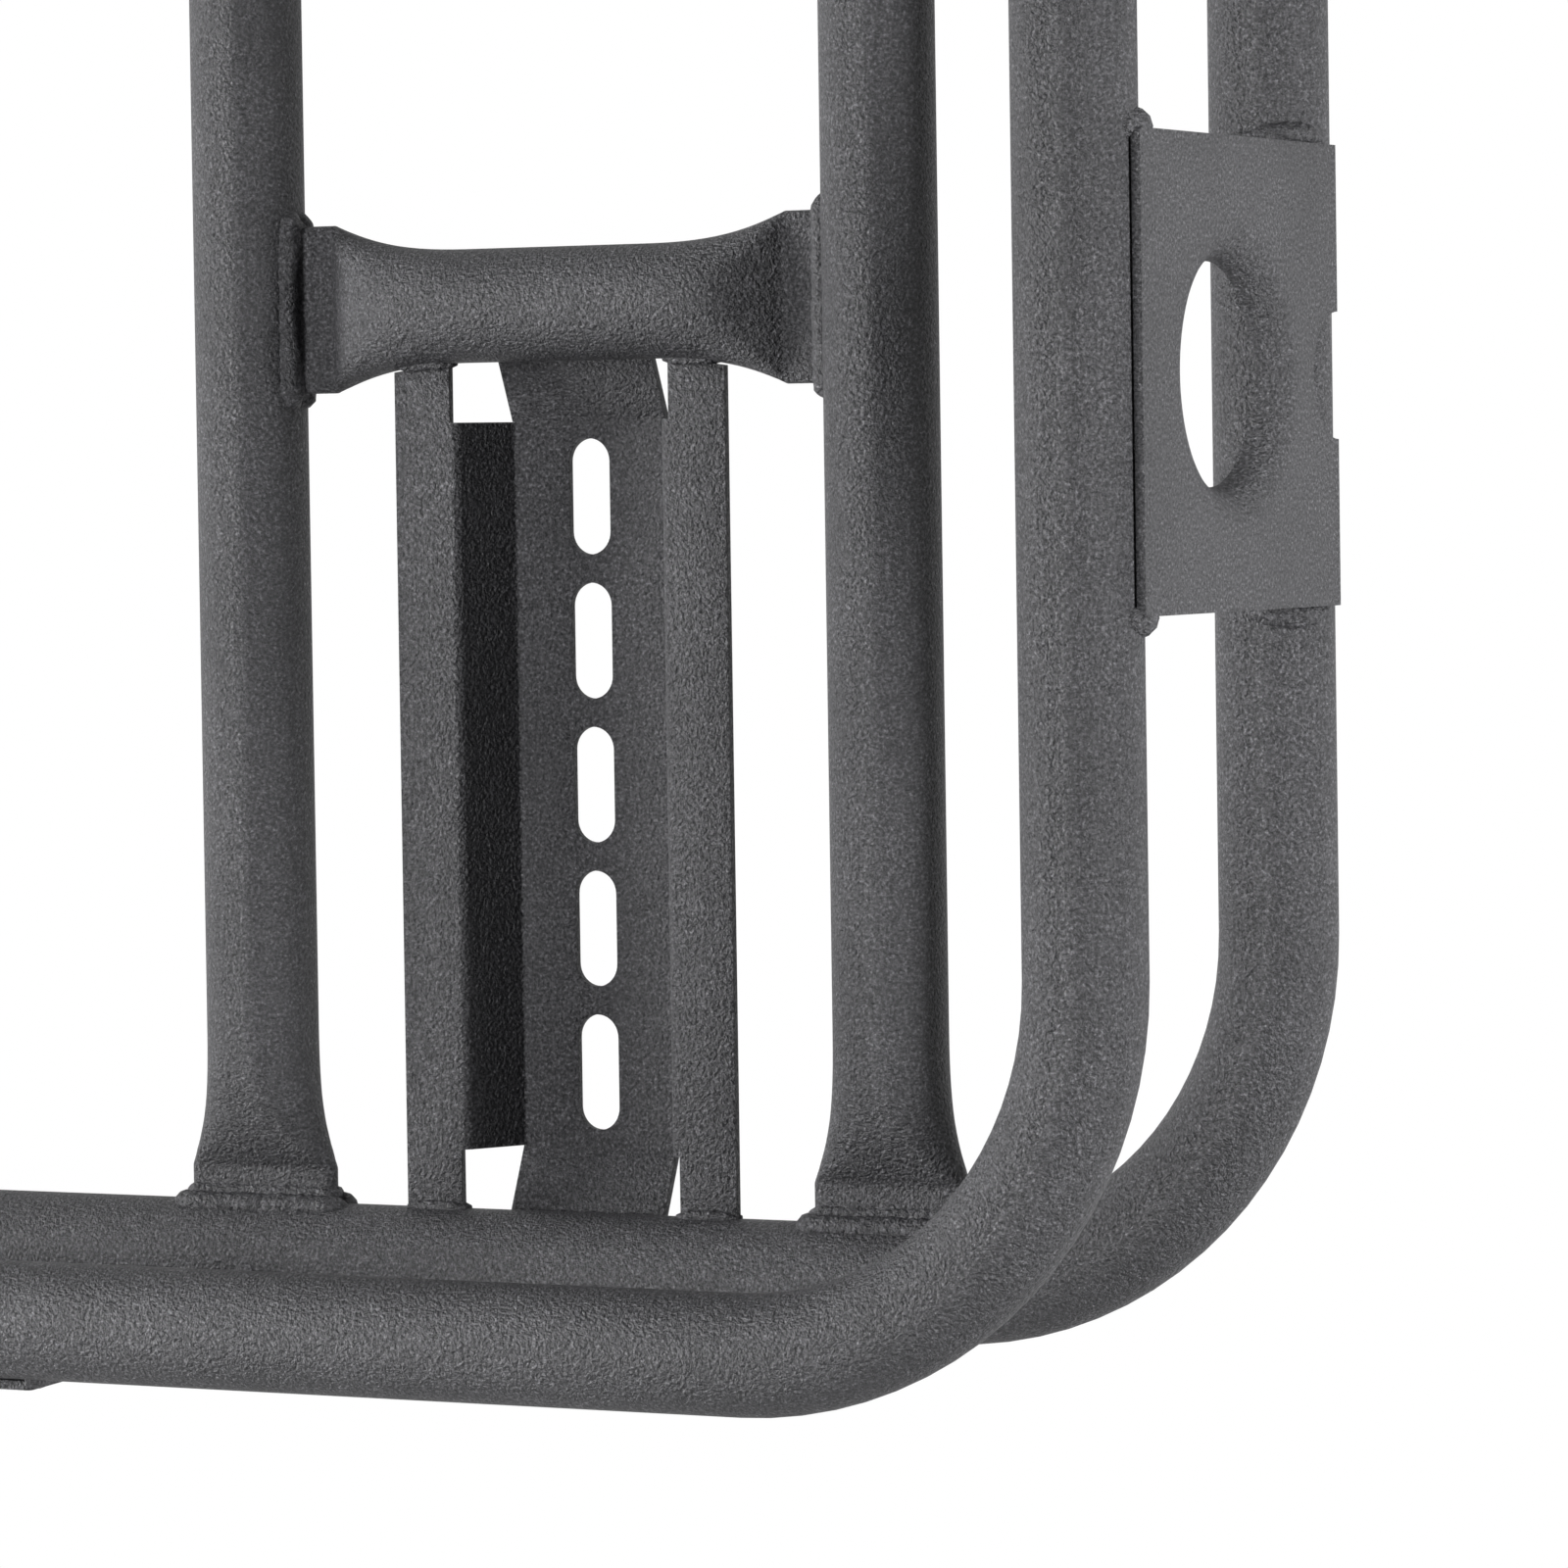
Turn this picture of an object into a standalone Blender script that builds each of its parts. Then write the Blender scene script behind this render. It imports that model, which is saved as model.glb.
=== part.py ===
"""Two-part roof luggage basket of welded steel tube, hinged across the middle so that it folds flat.

Units are metres, +Z is up. X runs across the vehicle and Y along it. The origin is on the resting
surface, under the middle of the basket. The front half is at -Y, the rear half at +Y. The rear half
folds up and over about a bolt line on top of the upper rails, at y = 0.
"""
import math

import bmesh
import bpy
from mathutils import Matrix, Vector

# Overall sizes, between the centre lines of the tubes
RAIL_WIDTH = 0.9146
RAIL_LENGTH = 1.0286
RAIL_RISE = 0.0994
CORNER_RADIUS = 0.078
UPPER_OVERHANG = 0.0033

# Tube
TUBE_DIAMETER = 0.0254
TUBE_WALL = 0.0015
TUBE_SIDES = 12
BEND_STEPS = 6
CRUSHED_LENGTH = 0.008
CRUSHED_SLIT = 0.0008
FLARE_LENGTH = 0.034

# Floor of each half: insets are from the side rail, the end rail or the split
OUTER_SLAT_INSET = 0.0916
INNER_SLAT_INSET = 0.2506
MIDDLE_SLAT_SPACING = 0.1376
CROSS_TUBE_INSET = 0.2150
MIDDLE_TUBE_INSET = 0.085

# Hat-shaped mounting channel
CHANNEL_SHEET = 0.002
CHANNEL_BELOW_SLEEVE = 0.0003
CHANNEL_OPENING = 0.0533
CHANNEL_WEB = 0.039
CHANNEL_FLANGE = 0.015
CHANNEL_TAB = 0.0134
CHANNEL_TAB_RISE = 0.0062
SLOT_WIDTH = 0.0103
SLOT_LENGTH = 0.026
SLOT_PITCH = 0.0323
SLOT_COUNT = 5
SLOT_END_STEPS = 4

# Plates between the lower and the upper rail
PLATE_LENGTH = 0.0965
PLATE_SHEET = 0.002
PLATE_TOP_RISE = 0.002
SIDE_PLATE_INSET = 0.1954
SPLIT_PLATE_INSET = 0.1153
END_PLATE_INSET = 0.298
HOLE_RADIUS = 0.0230
HOLE_LIP = 0.0090
HOLE_DEPTH = 0.007
LIP_PROFILE = ((0.4, 0.15), (0.75, 0.5), (1.0, 1.0))
HOLE_SIDES = 12
HOLE_HEIGHT = 0.0535
NOTCH_RADIUS = 0.01335
NOTCH_STEPS = 6

# Fold hinge and lock
SPLIT_GAP = 0.002
HINGE_RISE = 0.0080
LUG_SHEET = 0.004
LUG_LENGTH = 0.038
LUG_HEIGHT = 0.014
LUG_EAR_RADIUS = 0.009
LUG_EAR_TURN = 120
LUG_EAR_STEPS = 6
BOLT_DIAMETER = 0.008
BOLT_HEX = 0.013
BOLT_HEAD = 0.0053
BOLT_TAIL = 0.003
NUT_HEIGHT = 0.0065
ROUND_SIDES = 12
KNUCKLE_RADIUS = 0.007
KNUCKLE_START, KNUCKLE_TURN = 40, 230
KNUCKLE_STEPS = 8
KNUCKLE_END_PLAY = 0.0005
KNUCKLE_FOOT = 0.020
KNUCKLE_FOOT_SHEET = 0.003
SLEEVE_LENGTH = 0.050
SLEEVE_WALL = 0.0018
SLEEVE_PARK = 0.006
SLEEVE_PLAY = 0.0004
PLUG_LENGTH = 0.010
PLUG_RECESS = 0.0005

# Clearance between pieces that are welded, bolted or pressed together
FIT = 0.0003
# Least clearance between a channel flange's inner corner and the flare of the cross tube
FLARE_FIT = 0.00014
# Edges turned further than this, in degrees, are shaded sharp
SHARP_ANGLE = 35

# Worked out from the sizes above
R = TUBE_DIAMETER / 2
LOWER_Z = R + SLEEVE_PLAY + SLEEVE_WALL + CHANNEL_BELOW_SLEEVE
CHANNEL_DEPTH = LOWER_Z - CHANNEL_SHEET / 2
UPPER_Z = LOWER_Z + RAIL_RISE
SIDE_X = RAIL_WIDTH / 2
END_Y = RAIL_LENGTH / 2
AXIS_Z = UPPER_Z + R + HINGE_RISE
BOLT_RADIUS = BOLT_DIAMETER / 2
BORE_RADIUS = BOLT_RADIUS + FIT
LUG_INNER = R + FIT
LUG_OUTER = LUG_INNER + LUG_SHEET


# ---------------------------------------------------------------- materials and objects

def material(name, colour, roughness, metallic):
    mat = bpy.data.materials.new(name)
    mat.use_nodes = True
    shader = mat.node_tree.nodes["Principled BSDF"]
    shader.inputs["Base Color"].default_value = (*colour, 1.0)
    shader.inputs["Roughness"].default_value = roughness
    shader.inputs["Metallic"].default_value = metallic
    mat.diffuse_color = (*colour, 1.0)
    return mat


def clear_scene():
    for thing in list(bpy.data.objects):
        bpy.data.objects.remove(thing, do_unlink=True)


def add_object(name, mesh, finish, half, smooth=True):
    """One sub-part: its mesh, its material and the half of the basket that carries it."""
    thing = bpy.data.objects.new(name, mesh)
    bpy.context.scene.collection.objects.link(thing)
    mesh.materials.append(material(f"{name}_{finish[0]}", *finish[1:]))
    if smooth:
        mesh.shade_smooth()
        mesh.set_sharp_from_angle(angle=math.radians(SHARP_ANGLE))
    thing.parent = half
    thing.matrix_parent_inverse = Matrix.Translation(-half.location)
    return thing


def mesh_from(bm, name, recalc=True):
    if recalc:
        bmesh.ops.recalc_face_normals(bm, faces=bm.faces)
    mesh = bpy.data.meshes.new(name)
    bm.to_mesh(mesh)
    bm.free()
    return mesh


def mirror_mesh(mesh, x_sign, y_sign):
    """Reflects a mesh in the planes x = 0 and y = 0, keeping its faces outward."""
    mesh.transform(Matrix.Diagonal((x_sign, y_sign, 1, 1)))
    if x_sign * y_sign < 0:
        mesh.flip_normals()


POWDER_COAT = ("powder_coat", (0.085, 0.085, 0.088), 0.55, 0.35)
ZINC = ("zinc", (0.55, 0.55, 0.56), 0.35, 1.0)
BLACK_PLASTIC = ("black_plastic", (0.02, 0.02, 0.02), 0.6, 0.0)


# ---------------------------------------------------------------- tubes

def skin(bm, rings):
    """Joins each ring of vertices to the next with a band of four-sided faces."""
    for near, far in zip(rings, rings[1:]):
        for i in range(len(near)):
            j = (i + 1) % len(near)
            bm.faces.new((near[i], near[j], far[j], far[i]))


def hollow_tube(name, outer, inner):
    """A tube with both ends open: outer and inner are lists of rings of points."""
    bm = bmesh.new()
    outer = [[bm.verts.new(point) for point in ring] for ring in outer]
    inner = [[bm.verts.new(point) for point in ring] for ring in inner]
    skin(bm, outer)
    skin(bm, inner)
    skin(bm, [outer[0], inner[0]])
    skin(bm, [outer[-1], inner[-1]])
    return mesh_from(bm, name)


def circle(radius, sides=TUBE_SIDES):
    return [(radius * math.cos(2 * math.pi * i / sides), radius * math.sin(2 * math.pi * i / sides))
            for i in range(sides)]


def crushed(half_height):
    """The flattened section of the tube: two straights and two half-round ends of the same girth."""
    girth = 2 * math.pi * R
    straight = math.pi * (R - half_height) / 2
    arc = math.pi * half_height / 2
    points = []
    for i in range(TUBE_SIDES):
        quarter, travel = divmod(i * girth / TUBE_SIDES, girth / 4)
        if quarter % 2:
            travel = girth / 4 - travel
        if travel < arc - 1e-9:
            angle = travel / half_height
            x, y = straight + half_height * math.cos(angle), half_height * math.sin(angle)
        else:
            x, y = straight - (travel - arc), half_height
        x_sign = -1 if quarter in (1, 2) else 1
        y_sign = -1 if quarter in (2, 3) else 1
        points.append((x_sign * x, y_sign * y))
    return points


def blend(round_ring, flat_ring, share):
    return [(a[0] + (b[0] - a[0]) * share, a[1] + (b[1] - a[1]) * share)
            for a, b in zip(round_ring, flat_ring)]


def crush_marks():
    """Distances from the tube's end and how flat it is there: 1 is flat and 0 is round."""
    marks = [(0.0, 1.0), (CRUSHED_LENGTH, 1.0)]
    for share in (1 / 3, 2 / 3, 1.0):
        marks.append((CRUSHED_LENGTH + share * FLARE_LENGTH, 1 - math.sin(share * math.pi / 2)))
    return marks


def crushed_half_width(along):
    """Half of the tube's level width at a distance from its flattened end."""
    widest = crushed(CRUSHED_SLIT / 2 + TUBE_WALL)[0][0]
    marks = crush_marks()
    for (near, flat_near), (far, flat_far) in zip(marks, marks[1:]):
        if along <= far:
            flat = flat_near + (flat_far - flat_near) * (along - near) / (far - near)
            return R + (widest - R) * flat
    return R


def crushed_tube(name, length):
    """A round tube along +Y whose two ends are pressed flat, to be welded on."""
    slit = CRUSHED_SLIT / 2
    flat_outer = crushed(slit + TUBE_WALL)
    reach = flat_outer[0][0] - TUBE_WALL
    flat_inner = [(max(-reach, min(reach, x)), math.copysign(slit, y) if abs(y) > 1e-6 else 0.0)
                  for x, y in flat_outer]
    round_outer, round_inner = circle(R), circle(R - TUBE_WALL)
    outer_marks = crush_marks()
    inner_marks = [(0.0, 1.0), (CRUSHED_LENGTH, 1.0), (CRUSHED_LENGTH + FLARE_LENGTH, 0.0)]

    def rings(marks, round_ring, flat_ring):
        both_ends = marks + [(length - along, share) for along, share in reversed(marks)]
        return [[(x, along, z) for x, z in blend(round_ring, flat_ring, share)]
                for along, share in both_ends]

    return hollow_tube(name, rings(outer_marks, round_outer, flat_outer),
                       rings(inner_marks, round_inner, flat_inner))


def bend_clearance(inset):
    """Extra gap for a slat so near the side rail that its flattened end reaches the corner bend."""
    past_bend = CORNER_RADIUS - (inset - crushed_half_width(0.0))
    if past_bend <= 0:
        return 0.0
    inside = CORNER_RADIUS - R
    facet_sag = inside * (1 - math.cos(math.pi / (4 * BEND_STEPS)))
    return inside - math.sqrt(inside ** 2 - past_bend ** 2) + facet_sag


def u_path(half_width, half_length):
    """Stations of the U-bent rail of the front half: centre point and outward level direction."""
    corner_x = half_width - CORNER_RADIUS
    corner_y = -half_length + CORNER_RADIUS
    stations = [((half_width, -SPLIT_GAP / 2), (1.0, 0.0))]
    for side, first, last in ((1, 0, -90), (-1, -90, -180)):
        for step in range(BEND_STEPS + 1):
            angle = math.radians(first + (last - first) * step / BEND_STEPS)
            out = (math.cos(angle), math.sin(angle))
            centre = (side * corner_x + CORNER_RADIUS * out[0], corner_y + CORNER_RADIUS * out[1])
            stations.append((centre, out))
    stations.append(((-half_width, -SPLIT_GAP / 2), (-1.0, 0.0)))
    return stations


def bent_rail(name, half_length, height):
    path = u_path(SIDE_X, half_length)

    def rings(radius):
        return [[(cx + u * nx, cy + u * ny, height + v) for u, v in circle(radius)]
                for (cx, cy), (nx, ny) in path]

    return hollow_tube(name, rings(R), rings(R - TUBE_WALL))


# ---------------------------------------------------------------- sheet-metal pieces

def thicken(thing, thickness, offset):
    solid = thing.modifiers.new("Sheet", "SOLIDIFY")
    solid.thickness = thickness
    solid.offset = offset
    solid.solidify_mode = "NON_MANIFOLD"
    solid.nonmanifold_thickness_mode = "CONSTRAINTS"


def fill(bm, loops):
    """Closed loops of points in one plane, filled as one sheet with the later loops as holes."""
    edges = []
    rings = []
    for loop in loops:
        ring = [bm.verts.new(point) for point in loop]
        edges += [bm.edges.new((ring[i], ring[(i + 1) % len(ring)])) for i in range(len(ring))]
        rings.append(ring)
    bmesh.ops.triangle_fill(bm, use_beauty=True, use_dissolve=False, edges=edges)
    return rings


def channel_mesh(name, length, inner_cope, outer_cope):
    """Middle surface of the hat-shaped channel, along +Y, flanges at z = 0.

    The far corners of the flanges are cut back, to clear the flattened end of the cross tube.
    """
    bm = bmesh.new()
    flange_x = CHANNEL_OPENING / 2 + CHANNEL_FLANGE
    web_x = CHANNEL_WEB / 2
    opening_x = CHANNEL_OPENING / 2
    rows = (0.0, CHANNEL_TAB, length - CHANNEL_TAB, length)
    tab_z = CHANNEL_TAB_RISE - CHANNEL_DEPTH
    web_z = (tab_z, -CHANNEL_DEPTH, -CHANNEL_DEPTH, tab_z)
    grid = []
    for y, z in zip(rows, web_z):
        half_row = ((web_x, z), (opening_x, 0), (flange_x, 0))
        left = [bm.verts.new((-x, y, height)) for x, height in reversed(half_row)]
        grid.append(left + [bm.verts.new((x, y, height)) for x, height in half_row])
    left_outer, left_inner, _, _, right_inner, right_outer = grid[-1]
    for corner, cope in ((left_outer, outer_cope), (left_inner, inner_cope),
                         (right_inner, inner_cope), (right_outer, outer_cope)):
        corner.co.y -= cope
    for row in range(3):
        for column in range(5):
            if column in (1, 3) and row != 1:
                continue
            near, far = grid[row], grid[row + 1]
            bm.faces.new((near[column], near[column + 1], far[column + 1], far[column]))
    return mesh_from(bm, name)


def slot_cutter(name, length, half):
    """Row of slots with round ends, standing through the channel's web."""
    bm = bmesh.new()
    base, top = -1.5 * CHANNEL_DEPTH, -0.5 * CHANNEL_DEPTH
    radius = SLOT_WIDTH / 2
    straight = SLOT_LENGTH / 2 - radius
    for number in range(SLOT_COUNT):
        middle = length / 2 + (number - (SLOT_COUNT - 1) / 2) * SLOT_PITCH
        loop = []
        for end, first in ((1, 0), (-1, 180)):
            for step in range(SLOT_END_STEPS + 1):
                angle = math.radians(first + 180 * step / SLOT_END_STEPS)
                loop.append((radius * math.cos(angle),
                             middle + end * straight + radius * math.sin(angle), base))
        face = bm.faces.new([bm.verts.new(point) for point in loop])
        grown = bmesh.ops.extrude_face_region(bm, geom=[face])
        lifted = [v for v in grown["geom"] if isinstance(v, bmesh.types.BMVert)]
        bmesh.ops.translate(bm, verts=lifted, vec=(0, 0, top - base))
    cutter = bpy.data.objects.new(name, mesh_from(bm, name))
    bpy.context.scene.collection.objects.link(cutter)
    cutter.hide_render = True
    cutter.display_type = "WIRE"
    cutter.parent = half
    cutter.matrix_parent_inverse = Matrix.Translation(-half.location)
    return cutter


def cut(thing, cutter):
    boolean = thing.modifiers.new("Cut", "BOOLEAN")
    boolean.operation = "DIFFERENCE"
    boolean.object = cutter


def plate_mesh(name, height):
    """Outer face of an upright plate: x along the rail, z up, its lip pressed towards +Y.

    z = 0 is at the lower rail's centre line, where a half-round notch is cut in the plate's edge.
    """
    bm = bmesh.new()
    half = PLATE_LENGTH / 2
    outline = [(half, 0, 0), (half, 0, height), (-half, 0, height), (-half, 0, 0)]
    for step in range(NOTCH_STEPS + 1):
        angle = math.pi * (1 - step / NOTCH_STEPS)
        outline.append((NOTCH_RADIUS * math.cos(angle), 0, NOTCH_RADIUS * math.sin(angle)))
    mouth = HOLE_RADIUS + HOLE_LIP
    hole = [(u, 0, HOLE_HEIGHT + v) for u, v in circle(mouth, HOLE_SIDES)]
    ring = fill(bm, [outline, hole])[1]
    for share_in, share_deep in LIP_PROFILE:
        edges = [e for e in bm.edges if e.verts[0] in ring and e.verts[1] in ring]
        grown = bmesh.ops.extrude_edge_only(bm, edges=edges)
        ring = [v for v in grown["geom"] if isinstance(v, bmesh.types.BMVert)]
        radius = mouth - share_in * HOLE_LIP
        for v in ring:
            out = Vector((v.co.x, 0, v.co.z - HOLE_HEIGHT)).normalized() * radius
            v.co = Vector((out.x, HOLE_DEPTH * share_deep, HOLE_HEIGHT + out.z))
    bmesh.ops.recalc_face_normals(bm, faces=bm.faces)
    bm.faces.ensure_lookup_table()
    flat = max(bm.faces, key=lambda f: f.calc_area())
    if flat.normal.y > 0:
        bmesh.ops.reverse_faces(bm, faces=bm.faces)
    return mesh_from(bm, name, recalc=False)


# ---------------------------------------------------------------- hinge and lock

def prism(bm, loop, x_low, x_high):
    """A loop of (y, z) points extruded along X."""
    face = bm.faces.new([bm.verts.new((x_low, y, z)) for y, z in loop])
    grown = bmesh.ops.extrude_face_region(bm, geom=[face])
    lifted = [v for v in grown["geom"] if isinstance(v, bmesh.types.BMVert)]
    bmesh.ops.translate(bm, verts=lifted, vec=(x_high - x_low, 0, 0))


def drilled_prism(name, outline, bore, x_low, x_high):
    """A flat piece along X with a hole through it: outline and bore are loops of (y, z) points."""
    bm = bmesh.new()
    fill(bm, [[(x_low, y, z) for y, z in loop] for loop in (outline, bore)])
    grown = bmesh.ops.extrude_face_region(bm, geom=list(bm.faces))
    lifted = [v for v in grown["geom"] if isinstance(v, bmesh.types.BMVert)]
    bmesh.ops.translate(bm, verts=lifted, vec=(x_high - x_low, 0, 0))
    return mesh_from(bm, name)


def lug_outline():
    """Side view about the bolt centre: a foot along the upper rail and an ear around the bolt."""
    rail_z = UPPER_Z - AXIS_Z
    points = [(-LUG_LENGTH, rail_z - LUG_HEIGHT / 2), (-2 * SPLIT_GAP, rail_z - LUG_HEIGHT / 2)]
    for step in range(LUG_EAR_STEPS + 1):
        angle = math.radians(LUG_EAR_TURN * step / LUG_EAR_STEPS)
        points.append((LUG_EAR_RADIUS * math.cos(angle), LUG_EAR_RADIUS * math.sin(angle)))
    points.append((-LUG_LENGTH, rail_z + LUG_HEIGHT / 2))
    return points


def knuckle_outline():
    """Side view about the bolt centre: the barrel and its foot on the rear half's upper rail."""
    foot_z = UPPER_Z + R + FIT - AXIS_Z
    points = [(KNUCKLE_FOOT, foot_z), (KNUCKLE_FOOT, foot_z + KNUCKLE_FOOT_SHEET)]
    for step in range(KNUCKLE_STEPS + 1):
        angle = math.radians(KNUCKLE_START + KNUCKLE_TURN * step / KNUCKLE_STEPS)
        points.append((KNUCKLE_RADIUS * math.cos(angle), KNUCKLE_RADIUS * math.sin(angle)))
    points.append((2 * SPLIT_GAP, foot_z))
    return points


def hexagon(across_flats):
    return [(across_flats / math.sqrt(3) * math.cos(math.radians(60 * i)),
             across_flats / math.sqrt(3) * math.sin(math.radians(60 * i))) for i in range(6)]


def bolt_mesh(name):
    """Hex-head bolt along X about the hinge axis: head outside the outer lug, thread past the nut."""
    bm = bmesh.new()
    head_x = LUG_OUTER + FIT
    tail_x = -(LUG_OUTER + FIT + NUT_HEIGHT + BOLT_TAIL)
    ring = bmesh.ops.create_circle(bm, segments=ROUND_SIDES, radius=BOLT_RADIUS, cap_ends=True)["verts"]
    bmesh.ops.rotate(bm, verts=ring, cent=(0, 0, 0), matrix=Matrix.Rotation(math.radians(90), 3, "Y"))
    for v in ring:
        v.co.x = tail_x
    grown = bmesh.ops.extrude_face_region(bm, geom=list(bm.faces))
    tip = [v for v in grown["geom"] if isinstance(v, bmesh.types.BMVert)]
    bmesh.ops.translate(bm, verts=tip, vec=(head_x + BOLT_HEAD / 2 - tail_x, 0, 0))
    return mesh_from(bm, name), head_x


def sleeve_mesh(name):
    """Sliding lock sleeve along Y, from y = 0 to its length."""
    inner, outer = R + SLEEVE_PLAY, R + SLEEVE_PLAY + SLEEVE_WALL

    def rings(radius):
        return [[(u, along, v) for u, v in circle(radius)] for along in (0.0, SLEEVE_LENGTH)]

    return hollow_tube(name, rings(outer), rings(inner))


def plug_mesh(name):
    bm = bmesh.new()
    near = [bm.verts.new((u, 0, v)) for u, v in circle(R - TUBE_WALL - FIT)]
    face = bm.faces.new(near)
    grown = bmesh.ops.extrude_face_region(bm, geom=[face])
    lifted = [v for v in grown["geom"] if isinstance(v, bmesh.types.BMVert)]
    bmesh.ops.translate(bm, verts=lifted, vec=(0, PLUG_LENGTH, 0))
    return mesh_from(bm, name)


# ---------------------------------------------------------------- assembly

def build_half(half_name, y_sign, half):
    """One half of the basket, modelled as the front half and reflected for the rear."""
    def add(name, mesh, x_sign=1, location=(0, 0, 0), turn=0.0, finish=POWDER_COAT):
        mirror_mesh(mesh, x_sign, y_sign)
        thing = add_object(f"{half_name}_{name}", mesh, finish, half)
        thing.location = (x_sign * location[0], y_sign * location[1], location[2])
        thing.rotation_euler.z = turn
        return thing

    add("lower_rail", bent_rail("lower_rail", END_Y, LOWER_Z))
    add("upper_rail", bent_rail("upper_rail", END_Y + UPPER_OVERHANG, UPPER_Z))

    floor_start = -END_Y + R + FIT
    floor_end = -MIDDLE_TUBE_INSET - R - FIT
    right_slats = [SIDE_X - OUTER_SLAT_INSET, SIDE_X - INNER_SLAT_INSET, MIDDLE_SLAT_SPACING / 2]
    for number, x in enumerate(right_slats + [-x for x in reversed(right_slats)], 1):
        start = floor_start + bend_clearance(SIDE_X - abs(x))
        add(f"slat_{number}", crushed_tube("slat", floor_end - start), 1, (x, start, LOWER_Z))

    middle_length = RAIL_WIDTH - 2 * (R + FIT)
    add("middle_tube", crushed_tube("middle_tube", middle_length), 1,
        (middle_length / 2, -MIDDLE_TUBE_INSET, LOWER_Z), y_sign * math.radians(90))

    cross_y = -END_Y + CROSS_TUBE_INSET
    cross_length = INNER_SLAT_INSET - OUTER_SLAT_INSET - 2 * (R + FIT)
    channel_x = SIDE_X - (OUTER_SLAT_INSET + INNER_SLAT_INSET) / 2
    channel_length = cross_y - R - FIT - floor_start
    opening_edge = CHANNEL_OPENING / 2
    flange_edge = opening_edge + CHANNEL_FLANGE
    outer_cope = crushed_half_width(cross_length / 2 - flange_edge) - R
    inner_growth = crushed_half_width(cross_length / 2 - opening_edge) - R
    inner_cope = max(0.0, inner_growth - (FIT - FLARE_FIT))
    for side, x_sign in (("right", 1), ("left", -1)):
        add(f"cross_tube_{side}", crushed_tube("cross_tube", cross_length), x_sign,
            (channel_x + cross_length / 2, cross_y, LOWER_Z), x_sign * y_sign * math.radians(90))
        mesh = channel_mesh("channel", channel_length, inner_cope, outer_cope)
        channel = add(f"channel_{side}", mesh, x_sign, (channel_x, floor_start, LOWER_Z))
        thicken(channel, CHANNEL_SHEET, 0.0)
        cutter = slot_cutter(f"{half_name}_slots_{side}", channel_length, half)
        mirror_mesh(cutter.data, x_sign, y_sign)
        cutter.location = channel.location
        cut(channel, cutter)

        plate_x = SIDE_X + R + FIT + PLATE_SHEET
        for number, plate_y in ((1, -END_Y + SIDE_PLATE_INSET), (2, -SPLIT_PLATE_INSET)):
            mesh = plate_mesh("side_plate", RAIL_RISE + PLATE_TOP_RISE)
            mesh.transform(Matrix.Rotation(math.radians(90), 4, "Z"))
            plate = add(f"side_plate_{side}_{number}", mesh, x_sign, (plate_x, plate_y, LOWER_Z))
            thicken(plate, PLATE_SHEET, -1.0)

        lean = math.atan2(UPPER_OVERHANG, RAIL_RISE)
        mesh = plate_mesh("end_plate", math.hypot(RAIL_RISE, UPPER_OVERHANG) + PLATE_TOP_RISE)
        outward = Matrix.Translation((0, -(R + FIT + PLATE_SHEET), 0))
        mesh.transform(Matrix.Rotation(lean, 4, "X") @ outward)
        plate = add(f"end_plate_{side}", mesh, x_sign, (SIDE_X - END_PLATE_INSET, -END_Y, LOWER_Z))
        thicken(plate, PLATE_SHEET, -1.0)

        for level, height in (("lower", LOWER_Z), ("upper", UPPER_Z)):
            add(f"{level}_plug_{side}", plug_mesh("plug"), x_sign,
                (SIDE_X, -SPLIT_GAP / 2 - PLUG_RECESS - PLUG_LENGTH, height), 0.0, BLACK_PLASTIC)


def build_hinge(side, x_sign, front, rear):
    """Two lugs, a bolt and a nut on the front half, and the knuckle of the rear half."""
    centre = (x_sign * SIDE_X, 0, AXIS_Z)
    bore = circle(BORE_RADIUS, ROUND_SIDES)

    def add(name, mesh, half, finish=POWDER_COAT):
        mirror_mesh(mesh, x_sign, 1)
        thing = add_object(name, mesh, finish, half)
        thing.location = centre
        return thing

    for face, low, high in (("outer", LUG_INNER, LUG_OUTER), ("inner", -LUG_OUTER, -LUG_INNER)):
        add(f"hinge_lug_{side}_{face}", drilled_prism("lug", lug_outline(), bore, low, high), front)
    half_width = LUG_INNER - KNUCKLE_END_PLAY
    add(f"hinge_knuckle_{side}",
        drilled_prism("knuckle", knuckle_outline(), bore, -half_width, half_width), rear)

    shank, head_x = bolt_mesh("bolt")
    bolt = add(f"hinge_bolt_{side}", shank, front, ZINC)
    bm = bmesh.new()
    prism(bm, hexagon(BOLT_HEX), head_x, head_x + BOLT_HEAD)
    head_mesh = mesh_from(bm, "bolt_head")
    mirror_mesh(head_mesh, x_sign, 1)
    head = bpy.data.objects.new(f"bolt_head_{side}", head_mesh)
    bpy.context.scene.collection.objects.link(head)
    head.hide_render = True
    head.display_type = "WIRE"
    head.parent = front
    head.location = centre
    union = bolt.modifiers.new("Head", "BOOLEAN")
    union.operation = "UNION"
    union.object = head

    nut_x = -(LUG_OUTER + FIT)
    add(f"hinge_nut_{side}", drilled_prism("nut", hexagon(BOLT_HEX), bore, nut_x - NUT_HEIGHT, nut_x),
        front, ZINC)


def build_sleeve(side, x_sign, front):
    mesh = sleeve_mesh("sleeve")
    thing = add_object(f"lock_sleeve_{side}", mesh, ZINC, front)
    thing.location = (x_sign * SIDE_X, -SLEEVE_PARK - SLEEVE_LENGTH, LOWER_Z)


def add_empty(name, location):
    empty = bpy.data.objects.new(name, None)
    bpy.context.scene.collection.objects.link(empty)
    empty.location = location
    return empty


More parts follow.
